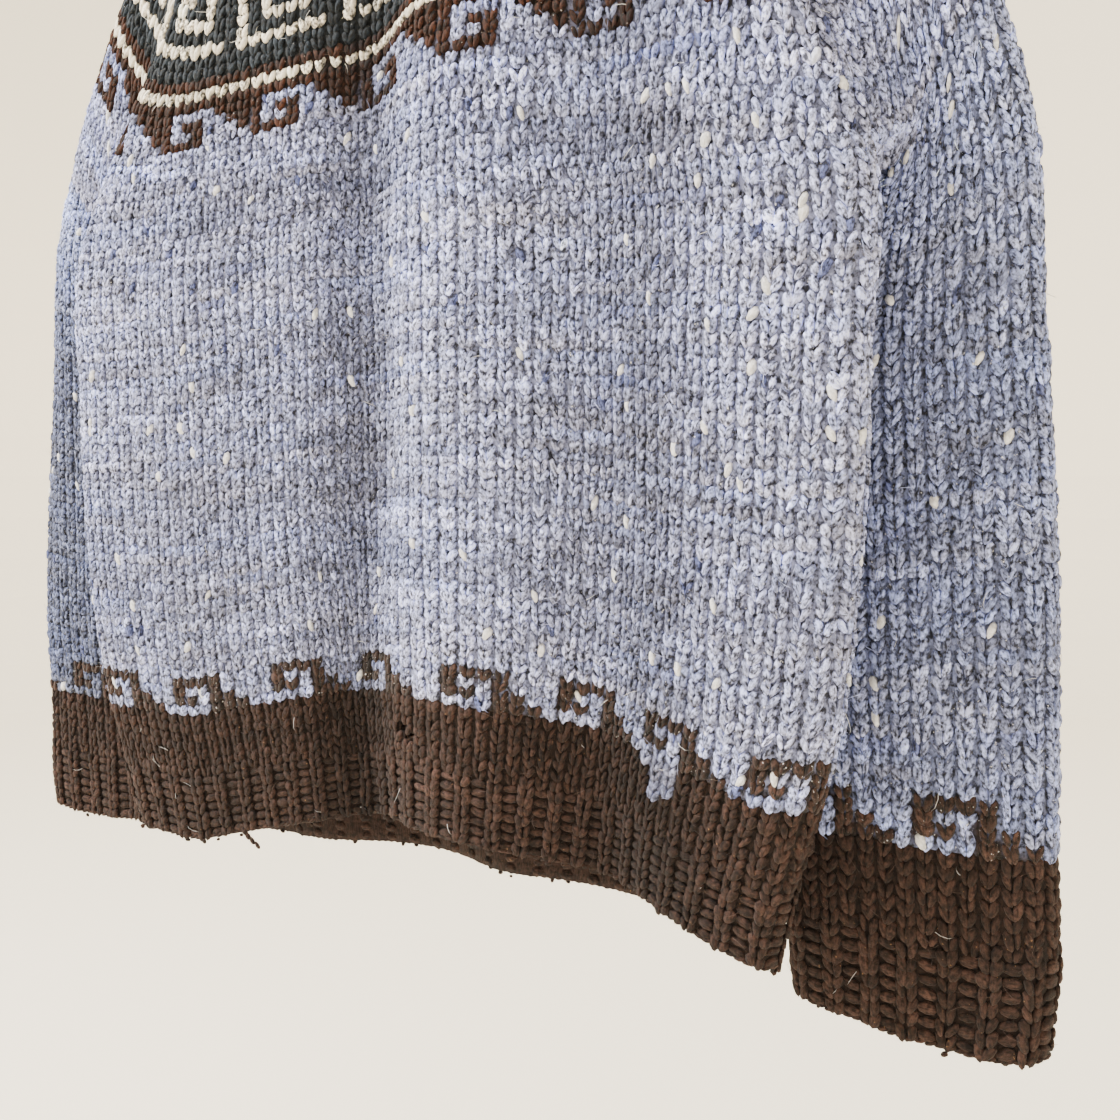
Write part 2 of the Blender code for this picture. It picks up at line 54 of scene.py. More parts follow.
SQUARENESS = 2.4
MIDDLE_Y = -0.008
BODY = (
    # level, half width, half depth, swing forward at the side
    (-0.410, 0.238, 0.031, 0.026),
    (-0.360, 0.250, 0.033, 0.029),
    (-0.300, 0.267, 0.035, 0.032),
    (-0.200, 0.280, 0.036, 0.034),
    (-0.100, 0.283, 0.036, 0.034),
    (0.000, 0.280, 0.036, 0.032),
    (0.040, 0.262, 0.035, 0.028),
    (0.085, 0.235, 0.033, 0.022),
    (0.120, 0.216, 0.031, 0.014),
    (0.160, 0.200, 0.029, 0.006),
    (0.210, 0.188, 0.027, 0.001),
    (0.310, 0.176, 0.026, 0.000),
)
FRONT_FOLDS = (
    # x at the hem, x at the join, half width, depth at the hem, at the join, at the neck
    (-0.037, -0.022, 0.030, 0.021, 0.019, 0.004),
    (0.142, 0.134, 0.032, 0.017, 0.012, 0.001),
    (-0.170, -0.160, 0.055, -0.006, -0.006, 0.000),
    (0.056, 0.050, 0.045, -0.012, -0.010, -0.001),
    (0.246, 0.225, 0.034, -0.008, -0.007, 0.000),
)
BACK_FOLDS = (
    (-0.105, -0.090, 0.034, 0.011, 0.008, 0.001),
    (0.048, 0.060, 0.036, 0.013, 0.009, 0.001),
    (-0.030, -0.020, 0.045, -0.005, -0.004, 0.000),
    (0.150, 0.140, 0.040, -0.005, -0.004, 0.000),
)
ARCH_X = 0.035
ARCH_REACH = 0.205
ARCH_AT_HEM = 0.038
ARCH_AT_JOIN = 0.010
SIDE_X, SIDE_FADE = 0.27, 0.08
STEP_UP = 0.009
STEP_X, STEP_SOFTNESS = -0.01, 0.03
STEP_LEVEL, STEP_REACH = 0.09, 0.06
BACK_WAVER = 0.004
CREASE_START = 0.006
FRONT_CREASE = 0.020
BACK_CREASE = 0.034
BACK_CREASE_SHARE = 0.80
SHOULDER = (
    # ring, x, level, y, half depth of the cloth there, reach of the rounding
    (0.00, 0.325, 0.075, 0.020, 0.020, 0.045),
    (0.14, 0.311, 0.112, 0.015, 0.020, 0.042),
    (0.28, 0.293, 0.150, 0.010, 0.019, 0.038),
    (0.42, 0.270, 0.188, 0.005, 0.018, 0.032),
    (0.55, 0.241, 0.219, 0.001, 0.018, 0.026),
    (0.68, 0.205, 0.242, 0.000, 0.018, 0.024),
    (0.84, 0.147, 0.266, 0.000, 0.018, 0.024),
    (1.00, 0.088, 0.290, 0.000, 0.018, 0.024),
)
FRONT_NECK = 0.250
BACK_NECK = 0.300
SLEEVE = (
    # fall, outer x, outer level, inner x, inner level, y, half depth, reach of the rounding
    (0.00, 0.325, 0.075, 0.215, 0.000, 0.020, 0.020, 0.045),
    (0.12, 0.341, 0.015, 0.212, -0.040, 0.022, 0.020, 0.045),
    (0.30, 0.349, -0.083, 0.211, -0.116, 0.022, 0.020, 0.045),
    (0.50, 0.357, -0.182, 0.213, -0.204, 0.022, 0.020, 0.045),
    (0.70, 0.361, -0.281, 0.218, -0.290, 0.022, 0.020, 0.042),
    (0.80, 0.362, -0.334, 0.222, -0.336, 0.022, 0.019, 0.040),
    (0.92, 0.364, -0.399, 0.226, -0.396, 0.022, 0.018, 0.036),
    (1.00, 0.361, -0.443, 0.230, -0.436, 0.022, 0.017, 0.034),
)
SLEEVE_FOLDS = (
    # place across from the inner edge -1 to the outer 1, half width, depth
    (-0.35, 0.30, 0.006),
    (0.30, 0.28, 0.004),
)
SLEEVE_WANDER = 0.12
CUFF_BOW = 0.006
SWING_OUT = 0.040
SWING_IN_AT_CUFF = 0.010
SWING_FORWARD = 0.008
SWING_TOP, SWING_REACH = 0.26, 0.25
LEFT_RAISE = 0.020
HEM_TOP = -0.318
BACK_HEM_EDGE = -0.408
FRONT_HEM_EDGE = -0.404
CUFF_TOP = 0.815
NECKBAND = 0.030
NECKBAND_TAPER_X = 0.07
NECKBAND_TAPER_Y = 0.14

# Counts of stitches and rows
BODY_COLUMNS = 56
BODY_ROWS = 50
BAND_ROWS = 14
BAND_PLAIN_ROWS = 6  # rows of a band that are plain before its ribs start
SLEEVE_COLUMNS = 30
SLEEVE_ROWS = 60
YOKE_ROWS = 40
YOKE_GROUND = 64
NECK_COLUMNS = 30
NECK_ROWS = 5
STITCH = 0.0102

# Middles of the hem wave's upright bars on the front: column, place along the row in metres
HEM_BARS = (
    (3.5, 0.034), (10.5, 0.120), (18.5, 0.209), (25.5, 0.260),
    (33.5, 0.376), (40.5, 0.435), (47.5, 0.481), (54.5, 0.552),
)
HEM_ROW_LENGTH = 0.569
BAR_PULL = 0.5  # how far the columns follow those places rather than even ones
BACK_BAR_STEPS = (8, 7, 8, 8, 7, 8, 7)
CUFF_BARS = {"left": (5, 13, 20, 27), "right": (3, 10, 18, 25)}

# The yoke's counts of stitches, which drop towards the neck
YOKE_COUNTS = (
    # first row, stitches on the front, on the back
    (4, 78, 72),
    (7, 75, 68),
    (10, 72, 64),
    (15, 68, 62),
    (17, 64, 58),
    (19, 56, 48),
    (26, 48, 42),
    (30, 42, 36),
    (34, 34, 28),
    (37, 28, 22),
)
YOKE_LEAN = 4  # how late towards the shoulder the columns start to lean
YOKE_WAVE_PHASE = 13
WHITE_ROW = 15
NAVY_ROWS = (17, 28)
KEY_TOP = 25

# Charts, top row first: X is the pattern's colour
HEM_WAVE = (
    # columns 3 to the left of the bar up to 4 to its right
    ".XXXX...",
    ".X..X...",
    ".XX.XX..",
    "....XXX.",
)
YOKE_WAVE = (
    "XXXXXXXX",
    ".XXXX...",
    "..XXX.XX",
    "...XX..X",
    "....XXXX",
)
KEY = (
    "XXXXXX..",
    "X....X..",
    "X.XX.X..",
    "X.X..X..",
    "X.XXXX..",
    "X.......",
    "XXXXXXX.",
)

# Yarns: colour, how much lighter or darker it runs, how uneven its thickness is
YARNS = {
    "blue": ((0.270, 0.300, 0.500), 0.34, 0.20),
    # The sleeves' blues are the body's blue darkened with painted shade, the left sleeve's most
    "blue_left": ((0.080, 0.096, 0.175), 0.30, 0.20),
    "blue_right": ((0.180, 0.212, 0.385), 0.30, 0.20),
    "hem_brown": ((0.025, 0.0125, 0.0095), 0.26, 0.16),
    "yoke_brown": ((0.026, 0.0090, 0.0050), 0.22, 0.12),
    "navy": ((0.013, 0.018, 0.025), 0.20, 0.12),
    "cream": ((0.820, 0.760, 0.640), 0.06, 0.10),
}
PALE, PALE_MOTTLING = 0.62, 0.22  # red of the palest yarns, and how mottled they are
PALE_FLECK = (0.72, 0.72, 0.74)
DARK_FLECK = (0.065, 0.080, 0.190)
PALE_SHARE, DARK_SHARE = 0.012, 0.006  # of the legs of blue yarn
TONE_JITTER = 0.20

# A leg of yarn, in shares of the stitch's width and the row's height
LEG_FOOT = (0.07, -0.60)
LEG_HEAD = (0.33, 0.60)
LEG_WIDTH = 0.46
LEG_DEPTH = 0.0034
LEG_OVERHANG = 1.12
LEG_RISE = 0.0008  # how far a leg's middle lies outside the wall's middle
LEG_TILT = 0.0013  # its foot lies further out than its head by this much
RIB_LIFT = 0.0010
PURL_WIDTH, PURL_HEIGHT = 1.05, 1.06
GROUND_OUT = -0.0002
EDGE_YARN = 0.0034  # thickness of the yarn along an edge
FLOOR_Z = -1.35

# Painted shade along the front's folds and over its left part: the wool's colour is darkened there
FOLD_SHADE = (
    # x at the hem, x at the join, half width, how much darker
    (0.172, 0.160, 0.040, 0.55),
    (-0.042, -0.028, 0.030, 0.52),
    (-0.160, -0.150, 0.090, 0.26),
)
PALE_ROWS = ((9, 0.20), (10, 0.45), (11, 0.25), (17, 0.25), (18, 0.40))  # row, how much lighter
PALE_COLUMN, PALE_REACH = 27, 9
SLEEVE_TOP_TINT = {"left": 3.0, "right": 1.4}  # how much lighter a sleeve's top rows grow, so its painted shade fades out into the yoke's blue
BLEND_ROWS = 24

# The patch that closes each underarm
GUSSET_FRONT_X = (0.273, 0.300)
GUSSET_BACK_X = (0.214, 0.252)
GUSSET_COLUMNS, GUSSET_ROWS = 5, 4
GUSSET_TUCK = 0.004  # how far its edges go in behind the cloth around it
GUSSET_DROP = 0.016  # how far it reaches down below the underarm row

# The snag in the hem's front: rows and half columns where the yarn is gone
SNAG_CELLS = ((10, 55), (10, 56), (9, 56), (9, 57))
TONGUE = ((-3, 46, 48), (-2, 46, 48), (-1, 45, 48), (-4, 46, 47))  # blue in the hem: row, columns
EDGE_INSET = 0.0006  # how far the edge's row of yarn lies inside the edge
PILLS = 0.35  # to each column of an edge
PILL_SIZE = (0.0018, 0.0034)

# A loose end of yarn that hangs from the hem's front: lumps, each thinner than the last
TAIL_COLUMN, TAIL_LUMPS = 12, 4
TAIL_STEP, TAIL_DRIFT, TAIL_OUT = 0.0036, 0.0022, 0.002
TAIL_LENGTH, TAIL_WIDTH, TAIL_DEPTH, TAIL_TAPER = 0.0066, 0.0040, 0.0036, 0.0004
TAIL_TURN = -1.05

# Fuzz: fibres to each stitch, their length and thickness, how they curl and stand
FUZZ = 0.22
FUZZ_ON_BACK, FUZZ_ON_BROWN = 0.5, 1.6  # against the blue wool in front
FUZZ_LENGTH = (0.004, 0.010)
FUZZ_RADIUS = 0.00016
FUZZ_ROOT = 0.0015  # how far outside the wall's middle a fibre starts
FUZZ_CURL = 0.9
FUZZ_STAND = (0.2, 0.5)
FUZZ_TONE = (0.9, 2.2)  # against the yarn's colour
FUZZ_PALE_SHARE = 0.05
FUZZ_BENDS = (
    # shares of its length along, aside and outwards
    (0.35, 0.05, 0.45),
    (0.75, 0.25, 0.75),
    (1.00, 0.55, 0.70),
)
FUZZ_TAPER = (1.0, 0.8, 0.6)

# Materials of the wool
WOOLS = (
    # slot, darkest and lightest mottling, the flecks' colour and share, sheen
    ("tweed_knit", (0.12, 2.50), (0.80, 0.80, 0.84), 0.31, 0.08),
    ("brown_rib", (0.30, 1.90), (0.30, 0.16, 0.07), 0.27, 0.03),
    ("yoke_knit", (0.14, 2.40), (0.62, 0.60, 0.58), 0.27, 0.03),
)
SLOTS = {"body": "tweed_knit", "slee": "tweed_knit", "yoke": "yoke_knit"}  # others: brown_rib

# The camera and the light
CAMERA_PLACE = (0.4315, -0.565, -0.52)
CAMERA_PITCH, CAMERA_YAW = 90 - 4.33, 31.1
SENSOR = 36.0
LENS = SENSOR * 1123 / 1120
AIM = (0, 0, -0.45)
LIGHTS = (
    # name, place, size, watts, colour
    ("key", (-1.5, -1.05, 1.35), 0.8, 205, (1.0, 0.985, 0.96)),
    ("fill", (1.5, -2.2, 0.3), 1.8, 10, (0.95, 0.97, 1.0)),
    ("rear", (0.9, 2.2, 0.9), 1.8, 26, (1.0, 0.98, 0.95)),
)
SKY_COLOUR, SKY_GLOW = (0.94, 0.95, 1.0, 1), 0.12
ROOM_RADIUS, ROOM_WALL = 3.4, 4.4
ROOM_COLOUR, ROOM_GLOW = (0.96, 0.89, 0.75), 0.65


def smooth(value):
    """A soft step from 0 to 1."""
    value = np.clip(value, 0, 1)
    return value * value * (3 - 2 * value)


def lengths(vectors):
    """Lengths of vectors."""
    return np.linalg.norm(vectors, axis=-1)


def unit(vectors):
    """The same directions, 1 long."""
    return vectors / np.linalg.norm(vectors, axis=-1, keepdims=True)


def points_at(at, run, outline):
    """Points of an outline where run, which rises along it, reaches at."""
    return np.stack([np.interp(at, run, outline[:, axis]) for axis in range(3)], -1)


def stacked(parts):
    """Like arrays of several parts, joined end to end."""
    return [np.concatenate(arrays) for arrays in zip(*parts)]


def read(rows, column, at):
    """One column of a table as a smooth curve of its first column."""
    keys = np.array([row[0] for row in rows])
    values = np.array([row[column] for row in rows])
    slopes = np.gradient(values, keys)
    at = np.clip(at, keys[0], keys[-1])
    k = np.clip(np.searchsorted(keys, at) - 1, 0, len(keys) - 2)
    step = keys[k + 1] - keys[k]
    t = (at - keys[k]) / step
    start = values[k] * (1 + 2 * t) * (1 - t) ** 2 + slopes[k] * step * t * (1 - t) ** 2
    end = values[k + 1] * t * t * (3 - 2 * t) + slopes[k + 1] * step * t * t * (t - 1)
    return start + end


def cap(distance, reach):
    """Half depth near an edge, rising from 0 in a quarter ellipse."""
    return np.sqrt(1 - (1 - np.clip(distance / reach, 0, 1)) ** 2)


def folds(table, x, level):
    """How far the upright folds push the cloth in."""
    total = 0
    low = np.clip(-level / HEM_DROP, 0, 1)
    high = np.clip(level / NECK_RISE, 0, 1)
    for hem_x, join_x, width, hem_depth, join_depth, neck_depth in table:
        middle = join_x + (hem_x - join_x) * low + 0.004 * np.sin(22 * level + 40 * hem_x)
        depth = join_depth + (hem_depth - join_depth) * low + (neck_depth - join_depth) * high
        total = total + depth * np.exp(-(((x - middle) / width) ** 2))
    return total


def rise(x, level, front):
    """How far a row lies above its level."""
    if not front:
        return BACK_WAVER * np.sin(9 * x + 1) * np.clip(-level / HEM_DROP, 0, 1)
    low = np.clip(-level / HEM_DROP, 0, 1)
    high = np.clip(level / FRONT_NECK, 0, 1)
    height = (ARCH_AT_JOIN + (ARCH_AT_HEM - ARCH_AT_JOIN) * low) * (1 - high)
    reach = np.clip((x - ARCH_X) / ARCH_REACH, -1, 1)
    arch = height * np.sqrt((1 + np.cos(math.pi * reach)) / 2)
    side = np.clip((SIDE_X - np.abs(x)) / SIDE_FADE, 0, 1)
    step_up = STEP_UP * np.tanh((x - STEP_X) / STEP_SOFTNESS)
    return arch + step_up * side * np.exp(-(((level - STEP_LEVEL) / STEP_REACH) ** 2))


def body_y(x, level, front):
    """Depth of the body's cloth at x, on a level."""
    share = np.clip(np.abs(x) / read(BODY, 1, level), 0, 1)
    rounding = (1 - share**SQUARENESS) ** (1 / SQUARENESS)
    middle = MIDDLE_Y - read(BODY, 3, level) * share**3
    depth = read(BODY, 2, level) * rounding
    if front:
        return middle - depth + folds(FRONT_FOLDS, x, level) * rounding
    return middle + depth - folds(BACK_FOLDS, x, level) * rounding


def swing(level, side):
    """Shift of the left sleeve, out and forward. The right one has none."""
    if side > 0:
        return 0.0, 0.0
    part = smooth((SWING_TOP - level) / SWING_REACH)
    back_in = smooth((-0.25 - level) / 0.15)
    return SWING_OUT * part - SWING_IN_AT_CUFF * back_in, -SWING_FORWARD * part


def body_half(level, front):
    """The outline of half of the body's ring, from its left side to its right."""
    turn = np.linspace(math.pi, 0, 2 * FINE + 1)
    across = np.sign(np.cos(turn)) * np.abs(np.cos(turn)) ** (2 / SQUARENESS)
    x = read(BODY, 1, level) * across
    y = body_y(x, level, front)
    z = JOIN_Z + level + rise(x, level, front)
    return np.stack([x, y, z], 1)


def yoke_side(ring, front, side):
    """A yoke ring's outline from the middle out to one shoulder line, side -1 or 1."""
    top_level = read(SHOULDER, 2, ring)
    out, forward = swing(top_level, side)
    reach_x = read(SHOULDER, 1, ring) + out
    top_y = read(SHOULDER, 3, ring) + forward
    level = (FRONT_NECK if front else BACK_NECK) * ring
    run = np.linspace(0, 1, FINE + 1)
    x = reach_x * (2 * run - run**2)
    edge = read(BODY, 1, FRONT_NECK * ring)
    if not front:
        edge = edge * BACK_CREASE_SHARE
    start = edge - CREASE_START
    turned = smooth((x - start) / (reach_x - start))
    bent = (x / reach_x) ** (7 - 2 * ring)
    mixed = smooth(ring / 0.6)
    lift = (1 - mixed) * turned + mixed * bent
    height = level + (top_level - level) * lift
    away = np.hypot(reach_x - x, top_level - height)
    body = body_y(side * x, FRONT_NECK * ring, front)
    half = read(SHOULDER, 4, ring)
    sleeve = top_y - half if front else top_y + half
    crease = smooth((x - start) / (FRONT_CREASE if front else BACK_CREASE))
    y = body + (sleeve - body) * crease
    y = top_y + (y - top_y) * cap(away, read(SHOULDER, 5, ring))
    z = JOIN_Z + height + rise(side * x, FRONT_NECK * ring, front) * (1 - crease)
    return np.stack([side * x, y, z], 1)


def yoke_half(ring, front):
    """The outline of half a yoke ring, from the left shoulder line to the right."""
    left = yoke_side(ring, front, -1)
    right = yoke_side(ring, front, 1)
    return np.concatenate([left[:0:-1], right])


def sleeve_half(fall, front, side):
    """The outline of half a sleeve ring, from its outer edge to its inner edge."""
    outer_x, outer_level, inner_x, inner_level, y, half, reach = (
        read(SLEEVE, column, fall) for column in range(1, 8)
    )
    out, forward = swing(outer_level, side)
    outer_x, inner_x, y = outer_x + out, inner_x + out, y + forward
    turn = np.linspace(0, math.pi, 2 * FINE + 1)
    place = np.cos(turn)
    x = (outer_x + inner_x) / 2 + place * (outer_x - inner_x) / 2
    straight = inner_level + (outer_level - inner_level) * (place + 1) / 2
    start = read(BODY, 1, 0.0) * (1 if front else BACK_CREASE_SHARE) - CREASE_START
    joined = inner_level + (outer_level - inner_level) * smooth((x - start) / (outer_x - start))
    level = joined + (straight - joined) * smooth(fall / 0.35)
    level = level - CUFF_BOW * (1 - place**2) * fall**8
    if side < 0:
        level = level + LEFT_RAISE * fall**2
    rounding = cap(np.hypot(outer_x - x, outer_level - level), reach)
    rounding = rounding * cap(np.hypot(x - inner_x, level - inner_level), reach)
    depth = half
    for middle, width, trough in SLEEVE_FOLDS:
        away = place - middle - SLEEVE_WANDER * math.sin(7 * fall + 3 * side)
        depth = depth - trough * smooth(fall / 0.2) * np.exp(-((away / width) ** 2))
    y = y + (-depth if front else depth) * rounding
    return np.stack([side * x, y, JOIN_Z + level], 1)


def run_of(outline):
    """Length along an outline at each of its points."""
    return np.concatenate([[0], np.cumsum(lengths(np.diff(outline, axis=0)))])


def along(outline, shares):
    """Points of an outline at shares of its length."""
    run = run_of(outline)
    return points_at(np.asarray(shares) * run[-1], run, outline)


def body_shares(front):
    """Where the body's columns of stitches part, as shares of the row."""
    columns = np.arange(BODY_COLUMNS + 1)
    even = columns / BODY_COLUMNS
    if not front:
        return even
    knots = [0.0, *(bar[0] for bar in HEM_BARS), BODY_COLUMNS]
    places = [0.0, *(bar[1] / HEM_ROW_LENGTH for bar in HEM_BARS), 1.0]
    pulled = read(tuple(zip(knots, places)), 1, columns)
    return even + (pulled - even) * BAR_PULL


def yoke_base_shares(front):
    """Columns of the yoke's first rows, which stand on the body's in the middle."""
    outline = yoke_half(0.0, front)
    run = run_of(outline)
    body_x = along(body_half(0.0, front), body_shares(front))[:, 0]
    limit = SIDE_X if front else SIDE_X * BACK_CREASE_SHARE
    middle = np.interp(body_x[np.abs(body_x) < limit], outline[:, 0], run)
    left = np.linspace(0, middle[0], round(middle[0] / STITCH) + 1)[:-1]
    rest = run[-1] - middle[-1]
    right = run[-1] - np.linspace(rest, 0, round(rest / STITCH) + 1)[1:]
    return np.concatenate([left, middle, right]) / run[-1]


class Panel:
    """Rows and columns of stitches on one stretch of cloth.

    corners holds a point of the wall's middle at each crossing of rows and columns,
    from the lowest row up and, seen from outside, from left to right.
    """

    def __init__(self, corners, colours, ribs=None, edge=None, holes=()):
        self.corners = corners
        self.colours = colours
        self.rows, self.columns = colours.shape
        self.ribs = np.zeros(self.rows) if ribs is None else ribs
        self.edge = edge  # 0 or -1: the row of corners that is the piece's free edge
        self.holes = holes  # rows and half columns where the yarn is gone
        self.inside = False  # whether its inner face is knitted too
        self.tint = np.ones(colours.shape)  # how much lighter or darker its wool is, painted shade included

    def frames(self):
        """Middle, across, up and outward directions of every stitch."""
        low, high = self.corners[:-1], self.corners[1:]
        middle = (low[:, :-1] + low[:, 1:] + high[:, :-1] + high[:, 1:]) / 4
        across = (low[:, 1:] - low[:, :-1] + high[:, 1:] - high[:, :-1]) / 2
        up = (high[:, :-1] - low[:, :-1] + high[:, 1:] - low[:, 1:]) / 2
        return middle, across, up, unit(np.cross(across, up))


def paint_fold_shade(panel):
    """Paint shade into the wool's colour along the front's folds."""
    middle = panel.frames()[0]
    low = np.clip((JOIN_Z - middle[:, :, 2]) / HEM_DROP, 0, 1)
    for hem_x, join_x, width, depth in FOLD_SHADE:
        away = middle[:, :, 0] - join_x - (hem_x - join_x) * low
        panel.tint *= 1 - depth * np.exp(-((away / width) ** 2))


def yoke_grid(rings, front, shares):
    """Corners of some yoke rows whose columns stand upright except near the shoulders."""
    middle = yoke_half((rings[0] + rings[-1]) / 2, front)
    run = run_of(middle)
    left, right = run[FINE], run[-1] - run[FINE]
    place = shares * run[-1] - left
    reach = np.where(place < 0, left, right)
    part = (np.abs(place) / reach) ** YOKE_LEAN
    rows = []
    for ring in rings:
        outline = yoke_half(ring, front)
        run = run_of(outline)
        here_left, here_right = run[FINE], run[-1] - run[FINE]
        change = np.where(place < 0, left - here_left, here_right - right)
        at = here_left + place + change * part
        rows.append(points_at(at, run, outline))
    grid = np.stack(rows)
    return grid if front else grid[:, ::-1]


def grid_of(outlines, shares, flip):
    """Corners with one row for each outline."""
    grid = np.stack([along(outline, shares) for outline in outlines])
    return grid[:, ::-1] if flip else grid


def ring_grid(halves, columns, flip):
    """Corners evenly round a tube, whose last column is its first again."""
    rings = [np.concatenate([front, back[::-1], front[:1]]) for front, back in halves]
    return grid_of(rings, np.linspace(0, 1, columns + 1), flip)


def hem_wave(bars, columns, total):
    """Rows of True where the hem's wave is brown, lowest row first."""
    chart = np.array([[mark == "X" for mark in row] for row in HEM_WAVE[::-1]])
    wave = np.zeros((len(chart), columns), bool)
    for column in range(columns):
        steps = [(column - bar + total / 2) % total - total / 2 for bar in bars]
        step = min(steps, key=lambda s: abs(s - 0.5))
        wave[:, column] = chart[:, int(step) + 3]
    return wave


def repeated(chart, rounds):
    """Rows of True for a chart repeated along round places, lowest row first."""
    table = np.array([[mark == "X" for mark in row] for row in chart[::-1]])
    return table[:, rounds % table.shape[1]]


def body_panels():
    """The body's front and back, from the hem band up to the underarm row."""
    panels = {}
    levels = np.linspace(HEM_TOP, 0, BODY_ROWS + 1)
    front_bars = [int(bar[0]) for bar in HEM_BARS]
    bars = front_bars + [front_bars[-1] + s for s in np.cumsum(BACK_BAR_STEPS)]
    wave = hem_wave(bars, 2 * BODY_COLUMNS, 2 * BODY_COLUMNS)
    for front in (True, False):
        outlines = [body_half(level, front) for level in levels]
        corners = grid_of(outlines, body_shares(front), not front)
        colours = np.full((BODY_ROWS, BODY_COLUMNS), "blue", dtype=object)
        part = wave[:, :BODY_COLUMNS] if front else wave[:, BODY_COLUMNS:]
        colours[: len(wave)][part] = "hem_brown"
        panels["body_front" if front else "body_back"] = Panel(corners, colours)
    return panels


def band_ribs():
    """Share of ribbing in each row of a band, lowest row first."""
    rows = np.arange(BAND_ROWS)[::-1]
    return smooth((rows - BAND_PLAIN_ROWS + 1) / 2)


def hem_panels():
    """The hem band's front and back."""
    panels = {}
    for front in (True, False):
        edge = FRONT_HEM_EDGE if front else BACK_HEM_EDGE
        levels = np.linspace(edge, HEM_TOP, BAND_ROWS + 1)
        outlines = [body_half(level, front) for level in levels]
        corners = grid_of(outlines, body_shares(front), not front)
        colours = np.full((BAND_ROWS, BODY_COLUMNS), "hem_brown", dtype=object)
        if front:
            for row, first, last in TONGUE:
                colours[row, first:last] = "blue"
        name = "hem_band_front" if front else "hem_band_back"
        holes = SNAG_CELLS if front else ()
        panels[name] = Panel(corners, colours, band_ribs(), 0, holes)
        panels[name].inside = not front
    return panels


def sleeve_panels():
    """Both sleeves and their cuff bands."""
    panels = {}
    for name, side in (("left", -1), ("right", 1)):
        wave = hem_wave(CUFF_BARS[name], SLEEVE_COLUMNS, SLEEVE_COLUMNS)

        def grid(falls, side=side):
            halves = [(sleeve_half(f, True, side), sleeve_half(f, False, side)) for f in falls]
            return ring_grid(halves, SLEEVE_COLUMNS, side > 0)

        # A sleeve's blue is darker than the body's: painted shade
        colours = np.full((SLEEVE_ROWS, SLEEVE_COLUMNS), f"blue_{name}", dtype=object)
        colours[: len(wave)][wave] = "hem_brown"
        panel = Panel(grid(np.linspace(CUFF_TOP, 0, SLEEVE_ROWS + 1)), colours)
        # Its painted shade fades out towards the top, where it meets the yoke
        blend = smooth((np.arange(SLEEVE_ROWS) - SLEEVE_ROWS + BLEND_ROWS) / BLEND_ROWS)
        panel.tint *= 1 + (SLEEVE_TOP_TINT[name] - 1) * blend[:, None]
        panels[f"sleeve_{name}"] = panel
        colours = np.full((BAND_ROWS, SLEEVE_COLUMNS), "hem_brown", dtype=object)
        corners = grid(np.linspace(1, CUFF_TOP, BAND_ROWS + 1))
        panels[f"cuff_{name}"] = Panel(corners, colours, band_ribs(), 0)
    return panels


def yoke_colours(first, last, columns, start):
    """Colours of some yoke rows. start is the round place of their first column."""
    rounds = start + np.arange(columns)
    colours = np.full((last - first, columns), "yoke_brown", dtype=object)
    wave = repeated(YOKE_WAVE, rounds - YOKE_WAVE_PHASE)
    key = repeated(KEY, rounds)
    for row in range(first, last):
        line = colours[row - first]
        if row < WHITE_ROW - len(YOKE_WAVE):
            line[:] = "blue"
        elif row < WHITE_ROW:
            line[~wave[row - WHITE_ROW + len(YOKE_WAVE)]] = "blue"
        elif row == WHITE_ROW:
            line[:] = "cream"
        elif NAVY_ROWS[0] <= row <= NAVY_ROWS[1]:
            line[:] = "navy"
            if 0 <= KEY_TOP - row < len(KEY):
                line[key[len(KEY) - 1 - (KEY_TOP - row)]] = "cream"
    return colours


def yoke_panels():
    """The round yoke in bands with ever fewer stitches, front and back."""
    panels = {}
    starts = [0, *(row[0] for row in YOKE_COUNTS)]
    ends = [*starts[1:], YOKE_ROWS]
    for front in (True, False):
        bands = []
        for band, (first, last) in enumerate(zip(starts, ends)):
            if band:
                counts = YOKE_COUNTS[band - 1]
                shares = np.linspace(0, 1, counts[1 if front else 2] + 1)
                start = 0 if front else counts[1]
            else:
                shares = yoke_base_shares(front)
                start = 0
            rings = np.arange(first, last + 1) / YOKE_ROWS
            corners = yoke_grid(rings, front, shares)
            colours = yoke_colours(first, last, len(shares) - 1, start)
            bands.append(Panel(corners, colours))
        panels["yoke_front" if front else "yoke_back"] = bands
    return panels


def yoke_ground(bands, front):
    """The whole yoke as one panel, with the colours of its bands."""
    shares = np.linspace(0, 1, YOKE_GROUND + 1)
    rings = np.arange(YOKE_ROWS + 1) / YOKE_ROWS
    corners = grid_of([yoke_half(r, front) for r in rings], shares, not front)
    lines = []
    for band in bands:
        nearest = ((np.arange(YOKE_GROUND) + 0.5) / YOKE_GROUND * band.columns).astype(int)
        lines.append(band.colours[:, nearest])
    return Panel(corners, np.concatenate(lines))


def gusset_panel(side, front):
    """A few stitches that close the underarm between the body, the sleeve and the yoke."""
    inward = GUSSET_TUCK if front else -GUSSET_TUCK
    near, far = GUSSET_FRONT_X if front else GUSSET_BACK_X
    share = np.linspace(0, 1, GUSSET_COLUMNS + 1)
    yoke = yoke_side(0.0, front, side)
    sleeve = sleeve_half(0.02, front, side)[::-1]
    x = near + (far - near) * share
    top = points_at(x, side * yoke[:, 0], yoke)
    end = points_at(far, side * sleeve[:, 0], sleeve) + (0, inward, -GUSSET_TUCK)
    x = min(near, read(BODY, 1, 0.0) - GUSSET_TUCK) if front else near
    start = np.array([side * x, body_y(side * x, 0.0, front) + inward, JOIN_Z - GUSSET_DROP])
    bend = np.array([side * x, end[1], JOIN_Z - GUSSET_DROP])
    share = share[:, None]
    low = start * (1 - share) ** 2 + 2 * bend * share * (1 - share) + end * share**2
    rows = np.linspace(0, 1, GUSSET_ROWS + 1)[:, None, None]
    corners = low[None] * (1 - rows) + top[None] * rows
    colours = np.full((GUSSET_ROWS, GUSSET_COLUMNS), "blue", dtype=object)
    return Panel(corners[:, :: side if front else -side], colours)


